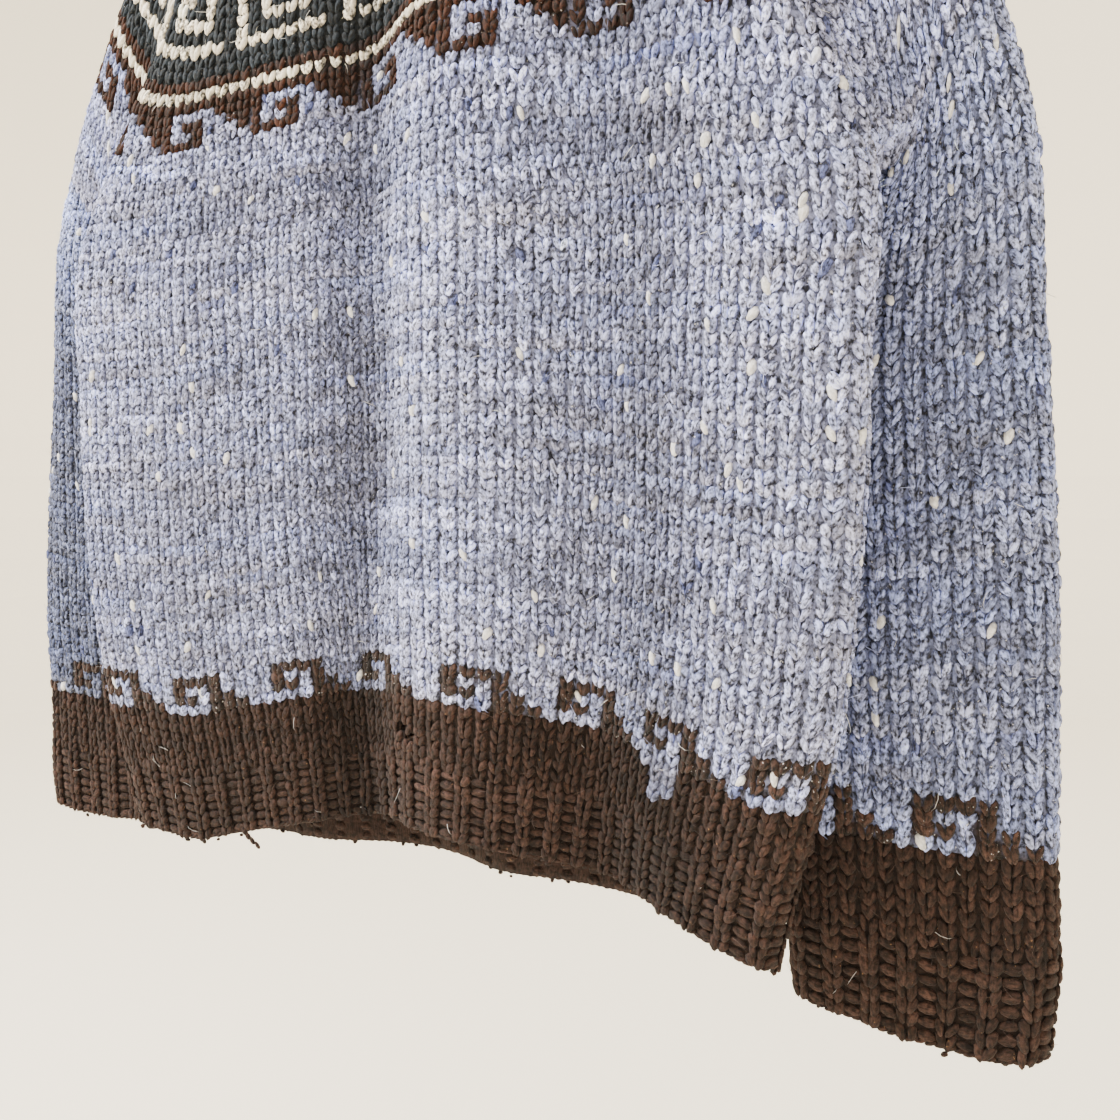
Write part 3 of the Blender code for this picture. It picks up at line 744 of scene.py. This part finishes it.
def neck_panel():
    """The ribbed neckband, standing on the yoke's last ring."""
    halves = [(yoke_half(1.0, True), yoke_half(1.0, False))]
    ring = ring_grid(halves, 2 * NECK_COLUMNS, False)[0]
    rows = []
    for share in np.linspace(0, 1, NECK_ROWS + 1):
        taper = np.array((1 - NECKBAND_TAPER_X * share, 1 - NECKBAND_TAPER_Y * share, 1))
        lifted = ring * taper
        lifted[:, 2] += NECKBAND * share
        rows.append(lifted)
    colours = np.full((NECK_ROWS, 2 * NECK_COLUMNS), "hem_brown", dtype=object)
    return Panel(np.stack(rows), colours, np.ones(NECK_ROWS), -1)


def new_object(name, vertices, faces, attributes=None, uv=None):
    """An object from arrays: vertices, and faces as arrays with one row for each face."""
    mesh = bpy.data.meshes.new(name)
    loops = np.concatenate([f.ravel() for f in faces])
    totals = np.concatenate([np.full(len(f), f.shape[1]) for f in faces])
    mesh.vertices.add(len(vertices))
    mesh.vertices.foreach_set("co", vertices.astype(np.float32).ravel())
    mesh.loops.add(len(loops))
    mesh.loops.foreach_set("vertex_index", loops.astype(np.int32))
    mesh.polygons.add(len(totals))
    loop_starts = np.concatenate([[0], np.cumsum(totals)[:-1]])
    mesh.polygons.foreach_set("loop_start", loop_starts.astype(np.int32))
    mesh.polygons.foreach_set("loop_total", totals.astype(np.int32))
    mesh.polygons.foreach_set("use_smooth", np.ones(len(totals), bool))
    mesh.update(calc_edges=True)
    mesh.validate()
    if uv is not None:
        layer = mesh.uv_layers.new(name="Yarn")
        layer.data.foreach_set("uv", uv[loops].astype(np.float32).ravel())
    if attributes is not None:
        colour = mesh.color_attributes.new("yarn", "FLOAT_COLOR", "POINT")
        mottling = np.where(attributes[:, :1] > PALE, PALE_MOTTLING, 1.0)
        full = np.concatenate([attributes, mottling], 1)
        colour.data.foreach_set("color", full.astype(np.float32).ravel())
    thing = bpy.data.objects.new(name, mesh)
    bpy.context.scene.collection.objects.link(thing)
    return thing


def lump_model(sides, rings):
    """One plump lump of yarn 1 long along Z and 1 across: its vertices and faces."""
    bpy.ops.object.select_all(action="DESELECT")
    bpy.ops.mesh.primitive_uv_sphere_add(segments=sides, ring_count=rings + 1, radius=0.5)
    lump = bpy.context.object
    bpy.ops.object.mode_set(mode="EDIT")
    bpy.ops.mesh.select_all(action="SELECT")
    bpy.ops.mesh.normals_make_consistent(inside=False)
    bpy.ops.object.mode_set(mode="OBJECT")
    mesh = lump.data
    vertices = np.array([v.co for v in mesh.vertices])
    quads = np.array([list(p.vertices) for p in mesh.polygons if len(p.vertices) == 4])
    tris = np.array([list(p.vertices) for p in mesh.polygons if len(p.vertices) == 3])
    bpy.data.objects.remove(lump)
    return vertices, quads, tris


def drift(random, rows, columns, reach):
    """Soft random values that change slowly along each row, about -1 to 1."""
    raw = random.standard_normal((rows, columns + 4 * reach))
    window = np.hanning(2 * reach + 3)
    window /= np.sqrt((window**2).sum())
    soft = np.stack([np.convolve(row, window, "same") for row in raw])
    return np.clip(soft[:, 2 * reach: 2 * reach + columns] / 1.6, -1.3, 1.3)


def is_blue(colours):
    """Where the yarn is the body's blue or one of the sleeves' blues, which are darkened with
    painted shade.
    """
    return (colours == "blue") | (colours == "blue_left") | (colours == "blue_right")


def yarn_values(panel, random):
    """Colour and thickness of the yarn in every stitch."""
    shape = (panel.rows, panel.columns)
    base = np.zeros((*shape, 3))
    range_of = np.zeros(shape)
    uneven = np.zeros(shape)
    for name, (colour, spread, thickness) in YARNS.items():
        here = panel.colours == name
        base[here] = colour
        range_of[here] = spread
        uneven[here] = thickness
    bands = drift(random, 1, panel.rows, 3)[0][:, None]
    run = 0.5 * drift(random, *shape, 5) + 0.45 * drift(random, *shape, 1) + 0.5 * bands
    # panel.tint brings in the painted shade of the front's folds and of the sleeves
    colour = base * (panel.tint * np.exp(range_of * run))[:, :, None]
    blue = is_blue(panel.colours)
    tint = drift(random, *shape, 4)[:, :, None] * blue[:, :, None]
    colour = colour * (1 + tint * np.array((-0.07, -0.03, 0.05)))
    patch = drift(random, *shape, 2) + 0.5 * bands
    deeper = np.clip(patch - 0.9, 0, 0.6)[:, :, None] * blue[:, :, None]
    colour = colour * (1 - deeper) + np.array(DARK_FLECK) * 1.6 * deeper
    thick = 1 + uneven * (0.7 * drift(random, *shape, 2) + 0.5 * random.standard_normal(shape))
    return colour, np.clip(thick, 0.7, 1.4)


def place_lumps(model, at, sizes, turn, lift, tilt, tone, random):
    """Copies of a lump laid on the cloth: their vertices, colours and yarn places.

    at holds the middle and the across, up and outward directions of each copy, sizes
    its length, width and depth, turn its angle from across, lift how far out it lies
    and tilt how much further out its foot lies than its head.
    """
    shape = model[0]
    middle, right, upward, out = at
    long, wide, deep = (size[:, None] for size in sizes)
    taper = 1 + 0.30 * shape[:, 2][None, :]
    a = shape[:, 0][None, :] * wide * taper
    b = shape[:, 2][None, :] * long
    n = lift[:, None] - shape[:, 1][None, :] * deep * taper - tilt[:, None] * shape[:, 2][None, :]
    c, s = np.cos(turn)[:, None], np.sin(turn)[:, None]
    x = (b * c + a * s)[:, :, None]
    y = (b * s - a * c)[:, :, None]
    points = middle[:, None] + x * right[:, None] + y * upward[:, None]
    points = points + n[:, :, None] * out[:, None]
    shift = random.uniform(0, 50, (len(middle), 2))
    place = np.stack([a * 1000 + shift[:, :1], b * 1000 + shift[:, 1:]], 2)
    tones = np.repeat(tone[:, None], len(shape), 1)
    return points.reshape(-1, 3), np.clip(tones.reshape(-1, 3), 0.003, 0.95), place.reshape(-1, 2)


def legs_of(panel, model, random):
    """All of a panel's legs of yarn, its purl bumps and its edge."""
    middle, across, up, out = panel.frames()
    width, height = lengths(across), lengths(up)
    right, upward = unit(across), unit(up)
    colour, thick = yarn_values(panel, random)
    crest = panel.ribs[:, None] * np.cos(math.pi * np.arange(panel.columns))[None, :]
    purl = crest < -0.5
    parts = []
    for side in (-1, 1):
        here = ~purl
        for row, half in panel.holes:
            if half % 2 == (side > 0):
                here[row, half // 2] = False
        index = np.nonzero(here)
        count = len(index[0])
        w, h, t = width[index], height[index], thick[index]
        ribbed = np.abs(crest[index])
        foot_x = side * LEG_FOOT[0] * (1 + 0.9 * ribbed) * w
        head_x = side * LEG_HEAD[0] * (1 + 0.15 * ribbed) * w
        span_x, span_y = head_x - foot_x, (LEG_HEAD[1] - LEG_FOOT[1]) * h
        shift = random.normal(0, 0.00040, (2, count))
        centre = middle[index] + ((foot_x + head_x) / 2 + shift[0])[:, None] * right[index]
        rise_up = (LEG_FOOT[1] + LEG_HEAD[1]) / 2 * h + shift[1]
        centre = centre + rise_up[:, None] * upward[index]
        turn = np.arctan2(span_y, span_x) + random.normal(0, 0.12, count)
        long = np.hypot(span_x, span_y) * LEG_OVERHANG * random.normal(1, 0.09, count)
        wide = LEG_WIDTH * w * t * random.normal(1, 0.10, count) * (1 + 0.30 * ribbed)
        lift = LEG_RISE + RIB_LIFT * crest[index] + random.normal(0, 0.00028, count)
        tone = colour[index] * np.exp(random.normal(0, TONE_JITTER, (count, 1)))
        pick = random.random(count)
        blue = is_blue(panel.colours[index])
        tone[blue & (pick < PALE_SHARE)] = PALE_FLECK
        tone[blue & (pick > 1 - DARK_SHARE)] = DARK_FLECK
        at = (centre, right[index], upward[index], out[index])
        sizes = (long, wide, LEG_DEPTH * t)
        tilt = np.full(count, LEG_TILT)
        parts.append(place_lumps(model, at, sizes, turn, lift, tilt, tone, random))
    for inside in (False, True):
        index = np.nonzero(~purl if inside else purl)
        count = len(index[0])
        if not count or (inside and not panel.inside):
            continue
        w, h, t = width[index], height[index], thick[index]
        at = (middle[index], right[index], upward[index], out[index])
        sizes = (PURL_WIDTH * w, PURL_HEIGHT * h * t, LEG_DEPTH * t)
        turn = random.normal(0, 0.14, count)
        lift = LEG_RISE + 0.5 * RIB_LIFT * crest[index] + random.normal(0, 0.00025, count)
        if inside:
            lift = lift - WALL / 2 - LEG_RISE
        tone = colour[index] * np.exp(random.normal(-0.05, TONE_JITTER, (count, 1)))
        parts.append(place_lumps(model, at, sizes, turn, lift, np.zeros(count), tone, random))
    if panel.edge is not None:
        parts.append(edge_lumps(panel, model, colour[panel.edge], random))
    return stacked(parts)


def edge_lumps(panel, model, colour, random):
    """The knotted row of yarn along a free edge, its pills and its loose end."""
    _, across, up, out = (part[panel.edge] for part in panel.frames())
    line = panel.corners[panel.edge]
    width, right, upward = lengths(across), unit(across), unit(up)
    inward = 1 if panel.edge == 0 else -1
    parts = []
    for share in (0.25, 0.75):
        middle = line[:-1] + (line[1:] - line[:-1]) * share + upward * EDGE_INSET * inward
        count = len(middle)
        sizes = (0.78 * width, np.full(count, EDGE_YARN), np.full(count, 1.25 * EDGE_YARN))
        turn = random.normal(0.30, 0.12, count)
        tone = colour * np.exp(random.normal(-0.05, TONE_JITTER, (count, 1)))
        lift = random.normal(0, 0.0003, count)
        at = (middle, right, upward, out)
        parts.append(place_lumps(model, at, sizes, turn, lift, np.zeros(count), tone, random))
    pick = np.nonzero(random.random(len(width)) < PILLS)[0]
    count = len(pick)
    size = random.uniform(*PILL_SIZE, count)
    drop = random.uniform(0.000, 0.003, (count, 1)) * inward
    middle = (line[:-1] + line[1:])[pick] / 2 - upward[pick] * drop
    at = (middle, right[pick], upward[pick], out[pick])
    tone = colour[pick] * np.exp(random.normal(-0.1, TONE_JITTER, (count, 1)))
    turn, lift = random.uniform(0, math.pi, count), random.normal(0, 0.0015, count)
    sizes = (1.3 * size, size, size)
    parts.append(place_lumps(model, at, sizes, turn, lift, np.zeros(count), tone, random))
    if panel.holes:
        step = np.arange(TAIL_LUMPS)
        pick = np.full(TAIL_LUMPS, TAIL_COLUMN)
        aside = (TAIL_DRIFT * step**1.3)[:, None]
        middle = line[pick] + right[pick] * aside + out[pick] * TAIL_OUT
        middle = middle - upward[pick] * (TAIL_STEP * step)[:, None]
        at = (middle, right[pick], upward[pick], out[pick])
        wide, deep = TAIL_WIDTH - TAIL_TAPER * step, TAIL_DEPTH - TAIL_TAPER * step
        sizes = (np.full(TAIL_LUMPS, TAIL_LENGTH), wide, deep)
        turn, flat = np.full(TAIL_LUMPS, TAIL_TURN), np.zeros(TAIL_LUMPS)
        parts.append(place_lumps(model, at, sizes, turn, flat, flat, colour[pick], random))
    return stacked(parts)


def join_lumps(count, model):
    """Faces of many copies of a lump."""
    shape, quads, tris = model
    starts = (np.arange(count) * len(shape))[:, None, None]
    return [(quads[None] + starts).reshape(-1, 4), (tris[None] + starts).reshape(-1, 3)]


def make_stitches(name, panels, model, random):
    """All stitches of one piece as one joined mesh."""
    points, tones, places = stacked([legs_of(panel, model, random) for panel in panels])
    faces = join_lumps(len(points) // len(model[0]), model)
    return new_object(name, points, faces, tones, places)


def corner_normals(grid, closed):
    """Outward directions at a grid's corners."""
    if closed:
        ring = grid[:, :-1]
        across = np.roll(ring, -1, 1) - np.roll(ring, 1, 1)
        across = np.concatenate([across, across[:, :1]], 1)
    else:
        across = np.gradient(grid, axis=1)
    return unit(np.cross(across, np.gradient(grid, axis=0)))


def doubled(panel):
    """A panel's corners with the middles of its columns between them, and its colours."""
    corners = panel.corners
    dense = np.empty((corners.shape[0], 2 * corners.shape[1] - 1, 3))
    dense[:, ::2] = corners
    dense[:, 1::2] = (corners[:, :-1] + corners[:, 1:]) / 2
    ribs = np.concatenate([panel.ribs, panel.ribs[-1:]])[:, None]
    crest = np.zeros(dense.shape[:2])
    crest[:, 1::2] = ribs * np.cos(math.pi * np.arange(panel.columns))[None, :]
    return dense, crest, np.repeat(panel.colours, 2, 1)


def ground_colour(colours, rows, columns):
    """The yarns' colours at a shell's corners, navy under cream, before make_ground darkens them
    into painted shade.
    """
    near = colours[np.minimum(np.arange(rows), colours.shape[0] - 1)]
    near = near[:, np.arange(columns) % colours.shape[1]]
    colour = np.zeros((rows, columns, 3))
    for yarn, (tone, _, _) in YARNS.items():
        colour[near == yarn] = YARNS["navy"][0] if yarn == "cream" else tone
    return colour


def make_ground(name, panels, closed):
    """The thin closed shell of cloth that the stitches lie on, its colour the yarns' darkened:
    painted shade.
    """
    vertices, tones, places, quads = [], [], [], []
    start = 0
    for panel in panels:
        if panel.ribs.any():
            corners, crest, colours = doubled(panel)
        else:
            corners, crest, colours = panel.corners, 0, panel.colours
        normal = corner_normals(corners, closed)
        wave = (RIB_LIFT * 0.6 * crest + np.zeros(corners.shape[:2]))[:, :, None]
        outer = corners + normal * (GROUND_OUT + wave)
        inner = corners - normal * (WALL / 2 - wave)
        if closed:
            outer, inner = outer[:, :-1], inner[:, :-1]
        rows, columns = outer.shape[:2]
        colour = ground_colour(colours, rows, columns)
        place = np.stack(np.meshgrid(np.arange(columns), np.arange(rows)), 2).astype(float)
        # Painted shade: the outer skin, seen between the stitches, takes the yarns' colour at 0.40
        # and the inner at 0.75
        for skin, shade in ((outer, 0.40), (inner, 0.75)):
            vertices.append(skin.reshape(-1, 3))
            tones.append(colour.reshape(-1, 3) * shade)
            places.append(place.reshape(-1, 2) * 5)
        ids = start + np.arange(rows * columns).reshape(rows, columns)
        quads.append(shell_quads(ids, ids + rows * columns, closed, panel.holes))
        start += 2 * rows * columns
    return new_object(
        name, np.concatenate(vertices), [np.concatenate(quads)],
        np.concatenate(tones), np.concatenate(places),
    )


def shell_quads(front, back, closed, holes):
    """Faces of a shell between two grids of points, with some of its cells left open."""
    rows, columns = front.shape
    spans = columns if closed else columns - 1
    quads = []

    def filled(row, column):
        if closed:
            column = column % columns
        inside = 0 <= row < rows - 1 and 0 <= column < spans
        return inside and (row, column) not in holes

    for row in range(rows - 1):
        for column in range(spans):
            if not filled(row, column):
                continue
            following = (column + 1) % columns
            a, b = front[row, column], front[row, following]
            c, d = front[row + 1, following], front[row + 1, column]
            e, f = back[row, column], back[row, following]
            g, h = back[row + 1, following], back[row + 1, column]
            quads.append((a, b, c, d))
            quads.append((e, h, g, f))
            if not filled(row - 1, column):
                quads.append((a, e, f, b))
            if not filled(row + 1, column):
                quads.append((d, c, g, h))
            if not filled(row, column - 1):
                quads.append((a, d, h, e))
            if not filled(row, column + 1):
                quads.append((b, f, g, c))
    return np.array(quads)


def make_fuzz(name, panels, random, share):
    """Fine loose fibres that stand off the wool, as one joined mesh."""
    parts = []
    for panel in panels:
        middle, across, up, out = (part.reshape(-1, 3) for part in panel.frames())
        colour = yarn_values(panel, random)[0].reshape(-1, 3)
        count = int(len(middle) * share)
        pick = random.choice(len(middle), count, replace=False)
        place = random.uniform(-0.5, 0.5, (count, 2))
        start = middle[pick] + across[pick] * place[:, :1] + up[pick] * place[:, 1:]
        start = start + out[pick] * FUZZ_ROOT
        turn = random.uniform(0, 2 * math.pi, count)[:, None]
        way = unit(across[pick]) * np.cos(turn) + unit(up[pick]) * np.sin(turn)
        tone = colour[pick] * random.uniform(*FUZZ_TONE, (count, 1)) + 0.02
        tone[random.random(count) < FUZZ_PALE_SHARE] = PALE_FLECK
        parts.append((start, way, out[pick], np.clip(tone, 0, 0.8)))
    start, way, out, tone = stacked(parts)
    count = len(start)
    length = random.uniform(*FUZZ_LENGTH, count)[:, None]
    side = np.cross(out, way)
    curl = random.normal(0, FUZZ_CURL, (count, 1))
    high = random.uniform(*FUZZ_STAND, (count, 1))
    line = [start]
    for forward, bent, raised in FUZZ_BENDS:
        line.append(start + length * (way * forward + side * curl * bent + out * high * raised))
    rings = []
    for point, taper in zip(line, FUZZ_TAPER):
        for corner in range(3):
            angle = 2 * math.pi * corner / 3
            ray = side * math.cos(angle) + out * math.sin(angle)
            rings.append(point + FUZZ_RADIUS * taper * ray)
    points = np.stack([*rings, line[-1]], 1)
    each = points.shape[1]
    ids = (np.arange(count) * each)[:, None, None]
    sides = [(k, (k + 1) % 3) for k in range(3)]
    quads = [[r + k, r + n, r + 3 + n, r + 3 + k] for r in (0, 3) for k, n in sides]
    tris = [[2, 1, 0], *([6 + k, 6 + n, 9] for k, n in sides)]
    faces = [(ids + np.array(part)).reshape(-1, len(part[0])) for part in (quads, tris)]
    tone = np.repeat(tone, each, 0)
    place = np.repeat(random.uniform(0, 50, (count, 2)), each, 0)
    return new_object(name, points.reshape(-1, 3), faces, tone, place)


def material(name):
    """A new material, and short ways to add its nodes and to set its shader's inputs."""
    made = bpy.data.materials.new(name)
    made.use_nodes = True
    tree = made.node_tree

    def fill(node, inputs):
        for key, value in inputs.items():
            if isinstance(value, bpy.types.NodeSocket):
                tree.links.new(value, node.inputs[key])
            else:
                node.inputs[key].default_value = value

    def add(kind, inputs=None, **settings):
        node = tree.nodes.new(kind)
        for key, value in settings.items():
            setattr(node, key, value)
        fill(node, inputs or {})
        return node

    def dress(inputs):
        fill(tree.nodes["Principled BSDF"], inputs)

    return made, add, dress


def two_tone(add, source, low, high):
    """A ramp between two colours, each given with its position."""
    ramp = add("ShaderNodeValToRGB", {"Fac": source})
    for element, (position, colour) in zip(ramp.color_ramp.elements, (low, high)):
        element.position = position
        element.color = (*colour, 1)
    return ramp.outputs[0]


def wool(name, tones, fleck, fleck_share, sheen):
    """Matt wool in the yarn's own colour, mottled and streaked, with small flecks.

    tones are how dark and how light the mottling runs.
    """
    made, add, dress = material(name)
    yarn = add("ShaderNodeAttribute", attribute_name="yarn", attribute_type="GEOMETRY")
    uv = add("ShaderNodeUVMap", uv_map="Yarn").outputs[0]
    place = add("ShaderNodeTexCoord").outputs["Object"]
    twist = add("ShaderNodeMapping", {
        "Vector": uv, "Rotation": (0, 0, 0.5), "Scale": (0.75, 0.24, 1),
    })
    fibres = add("ShaderNodeTexNoise", {
        "Vector": twist.outputs[0], "Scale": 1.0, "Detail": 4.0, "Roughness": 0.7,
    }).outputs[0]
    mottle = add("ShaderNodeTexNoise", {"Vector": place, "Scale": 430.0, "Detail": 2.0})
    mixed = {"Factor": 0.45, 2: fibres, 3: mottle.outputs[0]}
    both = add("ShaderNodeMix", mixed, data_type="FLOAT")
    ramp = add("ShaderNodeMapRange", {
        "Value": both.outputs[0], "From Min": 0.42, "From Max": 0.59,
        "To Min": tones[0], "To Max": tones[1],
    })
    mixed = {"Factor": yarn.outputs["Alpha"], 2: 1.0, 3: ramp.outputs[0]}
    depth = add("ShaderNodeMix", mixed, data_type="FLOAT")
    mixed = {0: yarn.outputs["Color"], "Scale": depth.outputs[0]}
    toned = add("ShaderNodeVectorMath", mixed, operation="SCALE")
    specks = add("ShaderNodeTexNoise", {"Vector": place, "Scale": 620.0})
    share = add("ShaderNodeMapRange", {
        "Value": specks.outputs[0], "From Min": 1 - fleck_share,
        "From Max": 1 - fleck_share + 0.05, "To Max": 0.85,
    })
    mixed = {"Factor": share.outputs[0], 6: toned.outputs[0], 7: (*fleck, 1)}
    flecked = add("ShaderNodeMix", mixed, data_type="RGBA")
    fine = add("ShaderNodeTexNoise", {"Vector": place, "Scale": 1900.0})
    first = add("ShaderNodeBump", {"Height": fibres, "Strength": 1.0, "Distance": 0.0011})
    second = add("ShaderNodeBump", {
        "Height": fine.outputs[0], "Normal": first.outputs[0], "Distance": 0.0004,
    })
    dress({
        "Base Color": flecked.outputs[2], "Normal": second.outputs[0], "Roughness": 0.92,
        "Specular IOR Level": 0.25, "Sheen Weight": sheen, "Sheen Roughness": 0.55,
    })
    return made


def wood():
    """Plain varnished wood with its grain along the bar."""
    made, add, dress = material("hanger_wood")
    place = add("ShaderNodeTexCoord").outputs["Object"]
    stretch = add("ShaderNodeMapping", {"Vector": place, "Scale": (6, 160, 160)})
    grain = add("ShaderNodeTexNoise", {
        "Vector": stretch.outputs[0], "Scale": 1.0, "Detail": 5.0, "Distortion": 0.6,
    }).outputs[0]
    colour = two_tone(add, grain, (0.35, (0.30, 0.165, 0.075)), (0.68, (0.52, 0.33, 0.17)))
    bump = add("ShaderNodeBump", {"Height": grain, "Strength": 0.25, "Distance": 0.0004})
    dress({
        "Base Color": colour, "Normal": bump.outputs[0], "Roughness": 0.38, "Coat Weight": 0.3,
    })
    return made


def steel():
    """Drawn steel wire, a little scuffed."""
    made, add, dress = material("hanger_wire")
    place = add("ShaderNodeTexCoord").outputs["Object"]
    scuffs = add("ShaderNodeTexNoise", {"Vector": place, "Scale": 260.0, "Detail": 4.0}).outputs[0]
    colour = two_tone(add, scuffs, (0, (0.42, 0.43, 0.44)), (1, (0.66, 0.66, 0.65)))
    rough = add("ShaderNodeMapRange", {"Value": scuffs, "To Min": 0.22, "To Max": 0.42})
    dress({"Base Color": colour, "Roughness": rough.outputs[0], "Metallic": 1.0})
    return made


def stage_colour(name, colour, glow):
    """Plain pale paint that is lit a little from within."""
    made, add, dress = material(name)
    place = add("ShaderNodeTexCoord").outputs["Object"]
    mottle = add("ShaderNodeTexNoise", {"Vector": place, "Scale": 1.2, "Detail": 2.0})
    darker = tuple(part * 0.97 for part in colour)
    paint = two_tone(add, mottle.outputs[0], (0, darker), (1, colour))
    dress({
        "Base Color": paint, "Emission Color": paint, "Emission Strength": glow, "Roughness": 1.0,
    })
    return made


def make_camera():
    """The camera, low and to the right, looking up the front to the left."""
    eye = bpy.data.cameras.new("camera")
    eye.sensor_width = SENSOR
    eye.lens = LENS
    camera = bpy.data.objects.new("camera", eye)
    camera.location = CAMERA_PLACE
    camera.rotation_euler = (math.radians(CAMERA_PITCH), 0, math.radians(CAMERA_YAW))
    bpy.context.scene.collection.objects.link(camera)
    bpy.context.scene.camera = camera


def area_light(name, place, size, power, colour):
    """A square soft light that looks at the middle of the pullover."""
    lamp = bpy.data.lights.new(name, "AREA")
    lamp.size = size
    lamp.energy = power
    lamp.color = colour
    light = bpy.data.objects.new(name, lamp)
    light.location = place
    aim = Vector(AIM) - Vector(place)
    light.rotation_euler = aim.to_track_quat("-Z", "Y").to_euler()
    bpy.context.scene.collection.objects.link(light)


def make_stage():
    """A wide pale room without corners, far from the pullover."""
    bpy.ops.object.select_all(action="DESELECT")
    bpy.ops.mesh.primitive_circle_add(
        vertices=96, radius=ROOM_RADIUS, fill_type="NGON", location=(0, 0, FLOOR_Z),
    )
    room = bpy.context.object
    room.name = "studio_floor"
    bpy.ops.object.mode_set(mode="EDIT")
    bpy.ops.mesh.select_mode(type="EDGE")
    bpy.ops.mesh.select_all(action="SELECT")
    was = ROOM_RADIUS
    for degrees in range(10, 91, 10):
        low, high = math.radians(degrees - 10), math.radians(degrees)
        grown = ROOM_RADIUS + math.sin(high)
        bpy.ops.mesh.extrude_edges_move()
        bpy.ops.transform.resize(value=(grown / was, grown / was, 1))
        bpy.ops.transform.translate(value=(0, 0, math.cos(low) - math.cos(high)))
        was = grown
    bpy.ops.mesh.extrude_edges_move()
    bpy.ops.transform.translate(value=(0, 0, ROOM_WALL))
    bpy.ops.object.mode_set(mode="OBJECT")
    return room


def light_scene():
    """Soft daylight from the upper left in pale surroundings."""
    world = bpy.data.worlds.new("studio")
    bpy.context.scene.world = world
    world.use_nodes = True
    sky = world.node_tree.nodes["Background"]
    sky.inputs["Color"].default_value = SKY_COLOUR
    sky.inputs["Strength"].default_value = SKY_GLOW
    for light in LIGHTS:
        area_light(*light)


def all_panels():
    """The panels of stitches of every piece."""
    pieces = {}
    for name, panel in {**body_panels(), **hem_panels(), **sleeve_panels()}.items():
        pieces[name] = [panel]
    pieces.update(yoke_panels())
    pieces["neckband"] = [neck_panel()]
    # Painted shade along the front's folds
    for name in ("body_front", "hem_band_front", "yoke_front"):
        for panel in pieces[name]:
            paint_fold_shade(panel)
    near = np.exp(-(((np.arange(BODY_COLUMNS) - PALE_COLUMN) / PALE_REACH) ** 2))
    for row, lighter in PALE_ROWS:
        pieces["body_front"][0].tint[row] *= 1 + lighter * near
    return pieces


def main():
    """Build every piece, the camera, the room and the lights."""
    random = np.random.default_rng(7)
    close = lump_model(5, 3)
    far = lump_model(5, 2)  # with fewer faces, for what the camera hardly sees
    wools = {values[0]: wool(*values) for values in WOOLS}
    for name, panels in all_panels().items():
        slot = SLOTS.get(name[:4], "brown_rib")
        closed = name.startswith(("sleeve", "cuff", "neck"))
        under = [yoke_ground(panels, "front" in name)] if name.startswith("yoke") else panels
        gussets = []
        if name.startswith("yoke"):
            gussets = [gusset_panel(side, "front" in name) for side in (-1, 1)]
        ground = make_ground(f"{name}_cloth", under + gussets, closed)
        hidden = "back" in name or name in ("sleeve_left", "cuff_left", "neckband")
        model = far if hidden else close
        stitches = make_stitches(f"{name}_stitches", panels + gussets, model, random)
        more = FUZZ_ON_BACK if "back" in name else FUZZ_ON_BROWN if slot == "brown_rib" else 1
        fuzz = make_fuzz(f"{name}_fuzz", panels, random, FUZZ * more)
        for piece in (ground, stitches, fuzz):
            piece.data.materials.append(wools[slot])
            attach(piece, "root")
        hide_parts(name)
    for name, look in (("hanger_bar", wood()), ("hanger_hook", steel())):
        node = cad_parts[name]
        node.data.materials.clear()
        node.data.materials.append(look)
    make_camera()
    bowl = make_stage()
    bowl.data.materials.append(stage_colour("studio_paint", ROOM_COLOUR, ROOM_GLOW))
    light_scene()


main()
